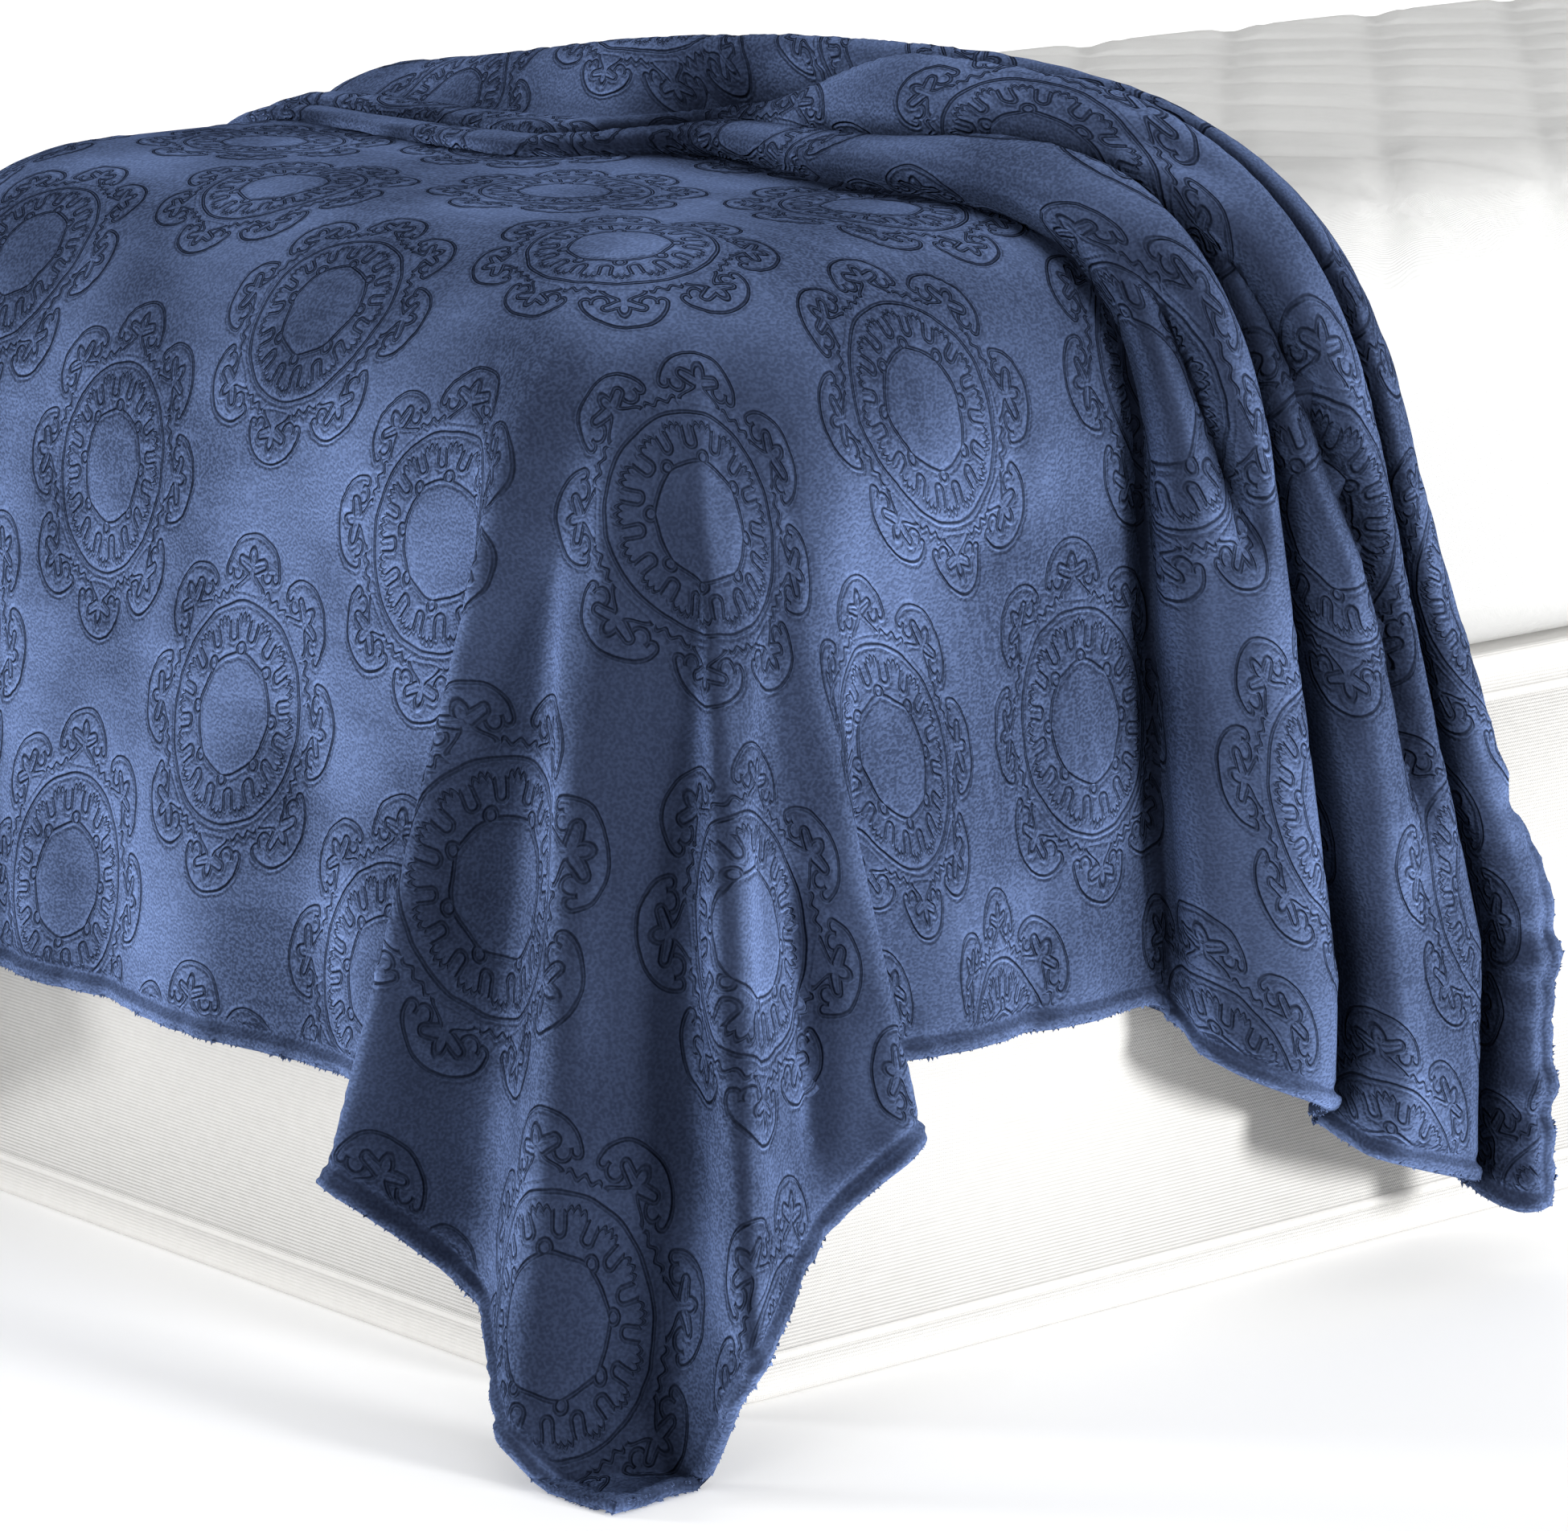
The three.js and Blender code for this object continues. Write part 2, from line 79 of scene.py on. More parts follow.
# Folds of the two corners that hang down: each fold line's lean out of plumb, outwards and to the side,
# and how far past the start of the shoulder it begins
CORNER_FOLDS = table(("name", "out", "side", "begin"), [
    ("start", 0.0, 0.0, 0.02),
    ("left tuck", 0.03, 0.03, 0.02),
    ("left ridge", 0.075, -0.238, 0.02),
    ("left valley", 0.10, -0.11, 0.06),
    ("middle ridge", 0.24, -0.085, 0.06),
    ("tip valley", 0.21, 0.03, 0.06),
    ("right ridge", 0.30, 0.08, 0.07),
    ("right valley", 0.16, 0.115, 0.13),
    ("outer ridge", 0.105, 0.225, 0.16),
    ("right tuck", 0.03, -0.03, 0.16),
    ("end", 0.0, 0.0, 0.16),
])
FAR_CORNER_FOLDS = table(("name", "out", "side", "begin"), [
    ("start", 0.0, 0.0, 0.06),
    ("first ridge", 0.13, -0.18, 0.06),
    ("first valley", 0.16, -0.05, 0.06),
    ("tip", 0.29, -0.02, 0.06),
    ("second valley", 0.16, 0.065, 0.06),
    ("second ridge", 0.11, 0.18, 0.06),
    ("end", 0.0, 0.0, 0.06),
])
CORNER_FOLD_RUN = 0.24

# The gathered head end: each fold's place, which is its distance from the bed's foot, and its height over
# the bed's face, in mm, at six stations from the far side of the bed over its top to the near hem
GATHER_START = 0.172
STATIONS = MM * np.array([-600, -335, -215, -50, 140, 620])
GATHER_FOLDS = table(("name", "place", "height"), [
    ("flat", (172, 172, 172, 172, 172, 172), (0, 0, 0, 0, 0, 0)),
    ("run in", (250, 235, 310, 300, 310, 350), (0, 0, 0, 0, 0, 0)),
    ("front line", (312, 292, 385, 376, 398, 432), (2, 2, 3, 3, 2, 0)),
    ("front roll", (305, 284, 372, 360, 386, 438), (7, 9, 14, 18, 25, 52)),
    ("front crest", (323, 306, 396, 390, 434, 505), (10, 13, 24, 36, 55, 80)),
    ("first valley", (340, 328, 416, 414, 462, 545), (5, 7, 10, 12, 12, 25)),
    ("second roll", (335, 318, 402, 398, 452, 550), (12, 15, 26, 50, 52, 68)),
    ("second crest", (360, 345, 408, 424, 500, 640), (16, 20, 34, 88, 76, 82)),
    ("second valley", (380, 372, 430, 446, 530, 676), (10, 12, 18, 24, 20, 45)),
    ("back crest", (420, 400, 438, 462, 528, 676), (30, 64, 76, 86, 64, 72)),
    ("back slope", (480, 468, 494, 512, 556, 694), (28, 50, 56, 58, 52, 88)),
    ("turn", (650, 640, 606, 562, 580, 710), (12, 16, 20, 22, 24, 85)),
    ("end", (440, 460, 465, 470, 500, 738), (5, 5, 5, 6, 6, 65)),
])
PULL = {"reach": 0.175, "start": 0.25, "run": 0.45, "power": 0.8, "fade_start": -0.45, "fade_run": 0.5}

# Shallow ripples of the two hanging faces: place along the edge, half width and how far they stand out
FOOT_RIPPLES = table(("middle", "half", "stand"), [
    (0.25, 0.09, 0.007),
    (0.45, 0.12, 0.016),
    (0.64, 0.07, 0.009),
])
NEAR_RIPPLES = table(("middle", "half", "stand"), [
    (0.25, 0.06, 0.008),
    (0.352, 0.045, 0.006),
])
RIPPLE_FADE = 0.08
NEAR_RIPPLE_END = 0.44

# Smaller creases of the cloth: where each runs on the flat cloth, half its width and how far it stands out
CREASES = table(("name", "half", "rise", "line"), [
    ("lappet band", 0.016, 0.006, [
        (-0.06, 0.027), (-0.107, -0.011), (-0.157, -0.061), (-0.225, -0.136), (-0.343, -0.248),
    ]),
    ("lappet crease", 0.018, -0.007, [
        (0.056, 0.007), (-0.057, -0.096), (-0.127, -0.163), (-0.2, -0.233), (-0.333, -0.378), (-0.375, -0.44),
    ]),
    ("lappet roll", 0.02, 0.006, [
        (0.041, -0.068), (-0.015, -0.126), (-0.092, -0.196), (-0.18, -0.283), (-0.26, -0.408),
    ]),
    ("lappet edge", 0.015, -0.008, [
        (-0.062, -0.243), (-0.072, -0.283), (-0.092, -0.328), (-0.125, -0.388), (-0.172, -0.443),
    ]),
    ("front base", 0.009, -0.006, [
        (0.397, 0.02), (0.401, -0.063), (0.405, -0.142), (0.411, -0.248), (0.415, -0.371), (0.417, -0.44),
    ]),
    ("front ridge", 0.020, 0.011, [
        (0.444, 0.009), (0.444, -0.063), (0.449, -0.198), (0.456, -0.281), (0.464, -0.353), (0.472, -0.5),
    ]),
    ("front crease", 0.013, -0.024, [
        (0.446, 0.040), (0.457, 0.010), (0.466, -0.033), (0.478, -0.060), (0.494, -0.090), (0.498, -0.13),
    ]),
    ("second ridge", 0.011, 0.006, [
        (0.581, 0.079), (0.597, 0.057), (0.607, 0.032),
    ]),
    ("long crease", 0.014, -0.024, [
        (0.565, 0.13), (0.612, 0.052), (0.652, -0.013), (0.679, -0.058), (0.702, -0.116), (0.73, -0.27),
    ]),
    ("third ridge", 0.012, 0.007, [
        (0.585, 0.062), (0.612, 0.007), (0.634, -0.026), (0.657, -0.068), (0.672, -0.13),
    ]),
    ("second face", 0.022, 0.011, [
        (0.655, -0.10), (0.669, -0.178), (0.677, -0.208), (0.689, -0.338), (0.702, -0.433), (0.71, -0.5),
    ]),
    ("under the back", 0.014, -0.006, [
        (0.559, 0.164), (0.579, 0.154), (0.597, 0.144), (0.634, 0.117),
    ]),
    ("near wrinkle", 0.014, -0.0025, [
        (0.198, -0.136), (0.238, -0.146), (0.288, -0.143),
    ]),
    ("near pull", 0.018, 0.003, [
        (0.321, -0.053), (0.308, -0.126), (0.291, -0.186),
    ]),
])
CREASE_TAPER = 0.25
WAVE_SHIFT = 1.7
PUCKER = {
    "end": {"rise": 0.006, "reach": 0.07, "lengths": (0.043, 0.074, 0.031, 0.163)},
    "edge": {"rise": 0.003, "reach": 0.05, "lengths": (0.052, 0.087, 0.037, 0.141)},
}

# Grid of the blanket's mesh
CELL = 0.0057
FAR_CELL = 0.0100
FAR_START = 0.75
BACK_EVERY = 4
CURVE_STEPS = 16
FAN_STEPS = 40
SMOOTH_PASSES = 2
HEM_LINES = MM * np.array([0, 0.8, 2.2, 4.5, 7, 9.5, 12, 13.5, 15, 16.5, 18.5, 21, 24])

# The hem: a puffy fold of the cloth, drawn in along its stitch line
HEM_HALF = 0.0052
HEM_LUMPS = {"share": 0.3, "lengths": (0.019, 0.031, 0.014)}
STITCH_FROM_EDGE = 0.015
STITCH_HALF = 0.0012
STITCH_RUN = 0.006
RIM = {
    "seed": 7,
    "inner": 3,
    "spacing": 0.00075,
    "inset": (0.0022, 0.0045),
    "half": 0.0038,
    "rise": 0.0016,
    "length": (0.0018, 0.0036),
    "width": 0.0010,
    "thick": (0.0014, 0.0024),
    "foot_back": 0.5,
    "foot_apart": 0.8,
}

# The pressed medallions stand in a half-drop lattice. Knots of the lattice on the flat cloth
PATTERN_PERIOD = (0.24, 0.36)
MEDALLION_RADIUS = 0.10
LATTICE_ALONG = {"place": (-0.57, -0.424, -0.128, 0.005, 1.07), "count": (-1.5, -1.0, 0.0, 0.5, 5.5)}
LATTICE_ACROSS = {
    "place": (-0.485, -0.265, -0.045, 0.165, 0.350, 0.515, 0.678, 0.841, 1.336),
    "count": (-2.5, -2.0, -1.5, -1.0, -0.5, 0.0, 0.5, 1.0, 2.5),
}
FOOT_DRIFT = {"share": 0.2, "from": 0.03, "run": 0.17}
LAPPET_DRIFT = {"share": 0.2, "past": 0.15, "from": 0.17, "run": 0.2}
NEAR_DRIFT = {"share": 0.36, "past": 0.05, "from": 0.05, "run": 0.12, "fade": 0.65, "fade_from": 0.18}

# The camera, at the photograph's angle
CAMERA_AZIMUTH = math.radians(-41.0)
CAMERA_ELEVATION = math.radians(12.6)
CAMERA_DISTANCE = 4.5
CAMERA_TARGET = Vector((-0.8783, -0.4333, 0.4135))
FOCAL_PIXELS = 8900
IMAGE_WIDTH = 1950
SENSOR_WIDTH = 36.0


def smoothstep(value):
    t = np.clip(value, 0.0, 1.0)
    return t * t * (3.0 - 2.0 * t)


def unit(vectors):
    return vectors / np.maximum(np.linalg.norm(vectors, axis=-1, keepdims=True), TINY)


# The shoulder: a quarter turn of the cloth over the mattress's edge, eased at both ends
ARC = np.linspace(0.0, SHOULDER_ARC, ARC_STEPS + 1)
TURN = math.pi / 2 * smoothstep(ARC / SHOULDER_ARC)


def running_sum(values):
    return np.concatenate([[0.0], np.cumsum((values[1:] + values[:-1]) / 2 * np.diff(ARC))])


ARC_OUT = running_sum(np.cos(TURN))
ARC_DOWN = running_sum(np.sin(TURN))
SHOULDER_REACH = ARC_OUT[-1]
SHOULDER_START = SHOULDER_REACH - HANG_GAP
FLAT_WIDTH = BED_WIDTH - 2 * SHOULDER_START
ALONG_FIRST = SHOULDER_START - DROP_FOOT
ALONG_LAST = ALONG_FIRST + CLOTH_LENGTH
ACROSS_FIRST = SHOULDER_START - DROP_NEAR
ACROSS_LAST = BED_WIDTH - SHOULDER_START + DROP_FAR


def out_at(arc):
    return np.interp(arc, ARC, ARC_OUT)


def down_at(arc):
    return np.interp(arc, ARC, ARC_DOWN) + np.maximum(arc - SHOULDER_ARC, 0.0)


def turn_at(arc):
    return np.interp(arc, ARC, TURN)


def crown_at(x, y):
    share = np.clip((y - SHOULDER_START) / FLAT_WIDTH, 0.0, 1.0)
    from_foot = smoothstep((x - SHOULDER_START) / CROWN_RUN)
    from_head = smoothstep((BED_LENGTH - SHOULDER_START - x) / CROWN_RUN)
    return CROWN * np.sin(math.pi * share) ** 2 * from_foot * from_head


def between(t, start, end, leave, arrive):
    """The place at a share t of a smooth curve, from its ends and how fast it leaves and arrives there."""
    return (
        (2 * t**3 - 3 * t**2 + 1) * start
        + (t**3 - 2 * t**2 + t) * leave
        + (3 * t**2 - 2 * t**3) * end
        + (t**3 - t**2) * arrive
    )


def smooth_curve(points, steps):
    """Samples of smooth curves through points[n, k, 2]."""
    delta = np.diff(points, axis=1)
    chord = np.maximum(np.linalg.norm(delta, axis=2, keepdims=True), TINY)
    slope = delta / chord
    before, after = chord[:, :-1], chord[:, 1:]
    inner = (slope[:, :-1] * after + slope[:, 1:] * before) / (before + after)
    tangent = np.concatenate([slope[:, :1], inner, slope[:, -1:]], axis=1)
    t = (np.arange(steps) / steps)[None, None, :, None]
    start, end = points[:, :-1, None], points[:, 1:, None]
    leave, arrive = (tangent[:, :-1] * chord)[:, :, None], (tangent[:, 1:] * chord)[:, :, None]
    curve = between(t, start, end, leave, arrive).reshape(len(points), -1, 2)
    return np.concatenate([curve, points[:, -1:]], axis=1)


def corner_fan(folds):
    """The hanging corner's lean, and where it begins, against the share of the quarter turn."""
    rows = np.array([[[fold["out"], fold["side"]] for fold in folds]])
    lean = smooth_curve(rows, FAN_STEPS)[0]
    plumb = np.sqrt(1 - (lean**2).sum(1))
    ways = np.linalg.norm(np.diff(np.column_stack([lean, plumb]), axis=0), axis=1)
    way = np.concatenate([[0.0], np.cumsum(ways)])
    begins = [fold["begin"] for fold in folds]
    begin = np.interp(np.arange(len(lean)) / FAN_STEPS, np.arange(len(folds)), begins)
    return way / way[-1], lean, begin


def corner_points(fan, past_foot, past_side):
    share, lean, begin = fan
    radius = np.hypot(past_foot, past_side)
    angle = np.arctan2(past_side, past_foot)
    key = angle / (math.pi / 2)
    out = np.interp(key, share, lean[:, 0])
    side = np.interp(key, share, lean[:, 1])
    lean_x = (side - out) / math.sqrt(2)
    lean_y = (-side - out) / math.sqrt(2)
    plumb = np.sqrt(1 - out**2 - side**2)
    leaning = radius - np.interp(key, share, begin)
    t = np.clip(leaning / CORNER_FOLD_RUN, 0, 1)
    free = CORNER_FOLD_RUN * (t**3 - t**4 / 2) + np.maximum(leaning - CORNER_FOLD_RUN, 0)
    height = BED_TOP - down_at(radius) + (1 - plumb) * free
    total = np.maximum(np.hypot(lean_x, lean_y), TINY)
    spread = FLOOR_SPREAD * np.maximum(FLOOR_GAP - height, 0) / total
    x = SHOULDER_START - out_at(radius) * np.cos(angle) + (free + spread) * lean_x
    y = SHOULDER_START - out_at(radius) * np.sin(angle) + (free + spread) * lean_y
    return x, y, np.maximum(height, FLOOR_GAP)


def ripple_at(ripples, place, hang):
    grown = smoothstep((hang - SHOULDER_ARC / 2) / (DROP_FOOT - SHOULDER_ARC / 2))
    out = np.zeros(np.shape(place))
    for ripple in ripples:
        t = np.maximum(1 - ((place - ripple["middle"]) / ripple["half"]) ** 2, 0)
        out += ripple["stand"] * t * t
    return out * grown


def across_stations(values, way):
    """Rows of values at the stations, read at each way by a curve that doesn't overshoot."""
    at = np.clip(way, STATIONS[0], STATIONS[-1])
    gap = np.diff(STATIONS)
    secant = np.diff(values, axis=1) / gap
    product = secant[:, :-1] * secant[:, 1:]
    total = secant[:, :-1] + secant[:, 1:]
    inner = np.where(product > 0, 2 * product / np.where(total == 0, 1, total), 0)
    slope = np.concatenate([secant[:, :1], inner, secant[:, -1:]], axis=1)
    i = np.clip(np.searchsorted(STATIONS, at, side="left") - 1, 0, len(STATIONS) - 2)
    t = ((at - STATIONS[i]) / gap[i])[:, None]
    h = gap[i][:, None]
    v, m = values.T, slope.T
    return between(t, v[i], v[i + 1], h * m[i], h * m[i + 1])


FOLD_PLACES = MM * np.array([fold["place"] for fold in GATHER_FOLDS], float)
FOLD_HEIGHTS = MM * np.array([fold["height"] for fold in GATHER_FOLDS], float)


def gather_section(way, into):
    """Distance from the foot and height over the bed's face, a length of cloth into the gathers."""
    points = np.stack([across_stations(FOLD_PLACES, way), across_stations(FOLD_HEIGHTS, way)], -1)
    curve = smooth_curve(points, CURVE_STEPS)
    chord = np.linalg.norm(np.diff(curve, axis=1), axis=2)
    total = np.concatenate([np.zeros((len(way), 1)), np.cumsum(chord, axis=1)], axis=1)
    i = np.clip((total < into[:, None]).sum(1) - 1, 0, curve.shape[1] - 2)
    row = np.arange(len(way))
    t = (into - total[row, i]) / np.maximum(chord[row, i], TINY)
    x = curve[row, i, 0] + t * (curve[row, i + 1, 0] - curve[row, i, 0])
    off = curve[row, i, 1] + np.minimum(t, 1) * (curve[row, i + 1, 1] - curve[row, i, 1])
    return x, np.maximum(off, 0)


def lying_points(along, across):
    """The part of the cloth that lies on the bed or hangs down its long sides."""
    into = np.maximum(along - GATHER_START, 0)
    grown = np.clip((into - PULL["start"]) / PULL["run"], 0, 1) ** PULL["power"]
    past = SHOULDER_START - across
    way = past + PULL["reach"] * grown * smoothstep((past - PULL["fade_start"]) / PULL["fade_run"])
    x, off = gather_section(way, into)
    x = np.where(into > 0, x, along)
    off = np.where(into > 0, off, 0)
    near = np.maximum(way, 0)
    far = np.maximum(-way - FLAT_WIDTH, 0)
    y = SHOULDER_START + np.clip(-way, 0, FLAT_WIDTH) - out_at(near) + out_at(far)
    z = BED_TOP - down_at(near) - down_at(far)
    turn = turn_at(near) - turn_at(far)
    fade = smoothstep((NEAR_RIPPLE_END - along) / RIPPLE_FADE)
    proud = off + fade * ripple_at(NEAR_RIPPLES, x, way)
    height = z + proud * np.cos(turn) + crown_at(x, y)
    spread = FLOOR_SPREAD * np.maximum(FLOOR_GAP - height, 0)
    return x, y - proud * np.sin(turn) - spread, np.maximum(height, FLOOR_GAP)


NEAR_FAN = corner_fan(CORNER_FOLDS)
FAR_FAN = corner_fan(FAR_CORNER_FOLDS)


def cloth_row(along, across):
    """Middle of the cloth along one line of the grid, in the bed's own frame."""
    p = np.full(len(across), along)
    foot = SHOULDER_START - p
    near = SHOULDER_START - across
    far = across - (BED_WIDTH - SHOULDER_START)
    if along >= SHOULDER_START:
        return np.stack(lying_points(p, across), -1)
    fade = smoothstep(-near / RIPPLE_FADE) * smoothstep(-far / RIPPLE_FADE)
    out = out_at(foot) + fade * ripple_at(FOOT_RIPPLES, across, foot)
    points = np.stack([SHOULDER_START - out, across, BED_TOP - down_at(foot)], -1)
    corner = near > 0
    points[corner] = np.stack(corner_points(NEAR_FAN, foot[corner], near[corner]), -1)
    corner = far > 0
    x, y, z = corner_points(FAR_FAN, foot[corner], far[corner])
    points[corner] = np.stack([x, BED_WIDTH - y, z], -1)
    return points


def grid_lines(first, last, cell, far_start=None):
    """Lines of the mesh: close together in the hem, then about a cell apart."""
    inner_first, inner_last = first + HEM_LINES[-1], last - HEM_LINES[-1]
    stops = [inner_first, inner_last] if far_start is None else [inner_first, far_start, inner_last]
    cells = [cell] if far_start is None else [cell, FAR_CELL]
    middle = []
    for start, stop, size in zip(stops, stops[1:], cells):
        count = round((stop - start) / size)
        middle.append(start + (stop - start) * np.arange(count) / count)
    return np.concatenate([first + HEM_LINES[:-1], *middle, last - HEM_LINES[::-1]])


# Arithmetic that works on arrays and in a shader's tree alike
ARRAY_STEPS = {
    "ADD": np.add,
    "SUBTRACT": np.subtract,
    "MULTIPLY": np.multiply,
    "DIVIDE": np.divide,
    "ABSOLUTE": np.abs,
    "MINIMUM": np.minimum,
    "MAXIMUM": np.maximum,
    "SINE": np.sin,
    "COSINE": np.cos,
    "SQRT": np.sqrt,
    "ARCTAN2": np.arctan2,
    "LESS_THAN": lambda a, b: (a < b) * 1.0,
    "WRAP": lambda value, top, low: low + np.mod(value - low, top - low),
}


class Wire:
    """A number that runs through a shader's tree."""

    def __init__(self, tree, socket):
        self.tree = tree
        self.socket = socket


def add_sign(sign, kind):
    """Lets a sign work on wires, with a wire before it or after it."""
    setattr(Wire, f"__{sign}__", lambda wire, other: step(kind, wire, other))
    setattr(Wire, f"__r{sign}__", lambda wire, other: step(kind, other, wire))


for sign, kind in (("add", "ADD"), ("sub", "SUBTRACT"), ("mul", "MULTIPLY"), ("truediv", "DIVIDE")):
    add_sign(sign, kind)


def feed(tree, socket, value):
    """Links a wire to a socket, or sets the socket to a plain value."""
    if isinstance(value, Wire):
        tree.links.new(value.socket, socket)
    else:
        socket.default_value = value


def step(kind, *values):
    """One step of arithmetic, on arrays or as a node."""
    wires = [value for value in values if isinstance(value, Wire)]
    if not wires:
        return ARRAY_STEPS[kind](*values)
    tree = wires[0].tree
    node = tree.nodes.new("ShaderNodeMath")
    node.operation = kind
    for socket, value in zip(node.inputs, values):
        feed(tree, socket, value)
    return Wire(tree, node.outputs[0])


def ease(value, low, high):
    """0 below low, 1 above high and smooth between."""
    if not isinstance(value, Wire):
        return smoothstep((value - low) / (high - low))
    node = value.tree.nodes.new("ShaderNodeMapRange")
    node.interpolation_type = "SMOOTHSTEP"
    feed(value.tree, node.inputs["Value"], value)
    set_inputs(node, {"From Min": low, "From Max": high})
    return Wire(value.tree, node.outputs["Result"])


def length(x, y):
    return step("SQRT", x * x + y * y)


def pick(mask, yes, no):
    return no + (yes - no) * mask


# The medallion, in shares of its outer radius
PETALS = 8
DISC = {"flat": 0.332, "bow": 0.5, "knob_out": 0.362, "knob": 0.036}
FINGERS = {"count": 16, "share": 0.3, "outer": 0.535, "waves": 1.5, "lobe": 0.026, "fall": 0.022}
SLOT = {"end": 0.447, "half": 0.036}
RING_RADIUS = 0.62
PETAL = {"middle": 0.775, "half": 0.262, "height": 0.225}
HOOK = {"side": 0.23, "radius": 0.032}
SCROLL = {"side": 0.15, "out": 0.785, "radius": 0.05}
SPIKE = {"out": 0.855, "width": 0.036, "height": 0.062}
SIDE_LEAF = {"side": 0.03, "out": 0.815, "run": 0.082, "rise": 0.026, "base": 0.034, "tip": 0.028}
STEM = {"width": 0.036, "flare": 0.10, "from": 0.785, "run": 0.10, "low": 0.65, "high": 0.85, "open": 0.695}
STEM_SLOPE = 0.8
PETAL_EDGE = 0.012
SCALLOP = {"radius": 0.70, "depth": 0.015, "waves": 3, "from": 0.25}


def medallion_middle(x, y):
    """Offset from the nearest middle of the half-drop lattice, in shares of the medallion's radius."""
    wide, tall = PATTERN_PERIOD
    even_x = step("WRAP", x, wide / 2, -wide / 2)
    even_y = step("WRAP", y, tall / 2, -tall / 2)
    odd_x = step("WRAP", x, wide, 0.0) - wide / 2
    odd_y = step("WRAP", y, tall, 0.0) - tall / 2
    nearer = step("LESS_THAN", length(even_x, even_y), length(odd_x, odd_y))
    return pick(nearer, even_x, odd_x) / MEDALLION_RADIUS, pick(nearer, even_y, odd_y) / MEDALLION_RADIUS


def disc_distance(side, out, radius, from_petal):
    """A plain disc with eight flat sides and a round knob at each corner."""
    bowed = step("COSINE", from_petal - math.pi / PETALS) * DISC["bow"] + (1 - DISC["bow"])
    flat = radius * bowed - DISC["flat"]
    knob = length(side, out - DISC["knob_out"]) - DISC["knob"]
    return step("ABSOLUTE", step("MINIMUM", flat, knob))


def finger_distance(radius, angle):
    """A closed line round a ring of fingers with three-lobed tips and round slots between them."""
    turn = step("WRAP", angle * (FINGERS["count"] / (2 * math.pi)), 0.5, -0.5)
    from_middle = step("ABSOLUTE", turn)
    wave = step("COSINE", from_middle * (FINGERS["waves"] * math.pi / FINGERS["share"]))
    lobes = step("ABSOLUTE", wave) * FINGERS["lobe"]
    fall = from_middle * from_middle * (FINGERS["fall"] / FINGERS["share"] ** 2)
    past_tip = radius - FINGERS["outer"] - lobes + fall
    to_slot = (0.5 - from_middle) * radius * (2 * math.pi / FINGERS["count"])
    slot = length(to_slot, step("MAXIMUM", SLOT["end"] - radius, 0.0)) - SLOT["half"]
    return step("ABSOLUTE", step("MAXIMUM", past_tip, 0.0 - slot))


def petal_distance(side, out):
    """A half-moon line whose ends hook in, over a pair of scrolls, and how far the petal is raised."""
    over = out - PETAL["middle"]
    dome = length(side, over * (PETAL["half"] / PETAL["height"])) - PETAL["half"]
    raised = (1.0 - ease(dome, -PETAL_EDGE, PETAL_EDGE)) * ease(over, 0.0, PETAL["height"] / 2)
    hook = length(side - HOOK["side"], over) - HOOK["radius"]
    line = step("ABSOLUTE", pick(step("LESS_THAN", over, 0.0), hook, dome))
    scroll = step("ABSOLUTE", length(side - SCROLL["side"], out - SCROLL["out"]) - SCROLL["radius"])
    scroll = step("MAXIMUM", scroll, out - SCROLL["out"])
    return step("MINIMUM", line, scroll), raised


def leaf_distance(side, out):
    """The outline of a three-lobed leaf on a flaring stem."""
    spike = (length(side / SPIKE["width"], (out - SPIKE["out"]) / SPIKE["height"]) - 1.0) * SPIKE["width"]
    run, rise = SIDE_LEAF["run"], SIDE_LEAF["rise"]
    to_side, to_out = side - SIDE_LEAF["side"], out - SIDE_LEAF["out"]
    share = (to_side * run + to_out * rise) / (run**2 + rise**2)
    share = step("MINIMUM", step("MAXIMUM", share, 0.0), 1.0)
    taper = share * (SIDE_LEAF["tip"] - SIDE_LEAF["base"]) + SIDE_LEAF["base"]
    lobe = length(to_side - share * run, to_out - share * rise) - taper
    flare = ease(STEM["from"] - out, 0.0, STEM["run"]) * STEM["flare"] + STEM["width"]
    past_ends = step("MAXIMUM", STEM["low"] - out, out - STEM["high"])
    stem = step("MAXIMUM", (side - flare) * STEM_SLOPE, past_ends)
    outline = step("ABSOLUTE", step("MINIMUM", step("MINIMUM", spike, lobe), stem))
    return step("MAXIMUM", outline, STEM["open"] - out)


def scallop_distance(radius, from_petal):
    wave = step("COSINE", from_petal * (2 * math.pi * SCALLOP["waves"] / (math.pi / PETALS)))
    line = step("ABSOLUTE", radius - SCALLOP["radius"] - wave * SCALLOP["depth"])
    return step("MAXIMUM", line, (SCALLOP["from"] - from_petal) * SCALLOP["radius"])


def medallion_parts(x, y):
    """Distances to the medallion's broad and fine lines, in shares of its radius, and its raised share."""
    x, y = medallion_middle(x, y)
    radius = length(x, y)
    angle = step("ARCTAN2", y, x)
    petal_angle = step("WRAP", angle, math.pi / PETALS, -math.pi / PETALS)
    from_petal = step("ABSOLUTE", petal_angle)
    side = step("ABSOLUTE", radius * step("SINE", petal_angle))
    out = radius * step("COSINE", petal_angle)
    petal, raised = petal_distance(side, out)
    ring = step("ABSOLUTE", radius - RING_RADIUS)
    broad = step("MINIMUM", ring, step("MINIMUM", disc_distance(side, out, radius, from_petal), petal))
    fine = step("MINIMUM", finger_distance(radius, angle), leaf_distance(side, out))
    fine = step("MINIMUM", fine, scallop_distance(radius, from_petal))
    raised = step("MAXIMUM", raised, 1.0 - ease(radius, RING_RADIUS, PETAL["middle"]))
    return broad, fine, raised


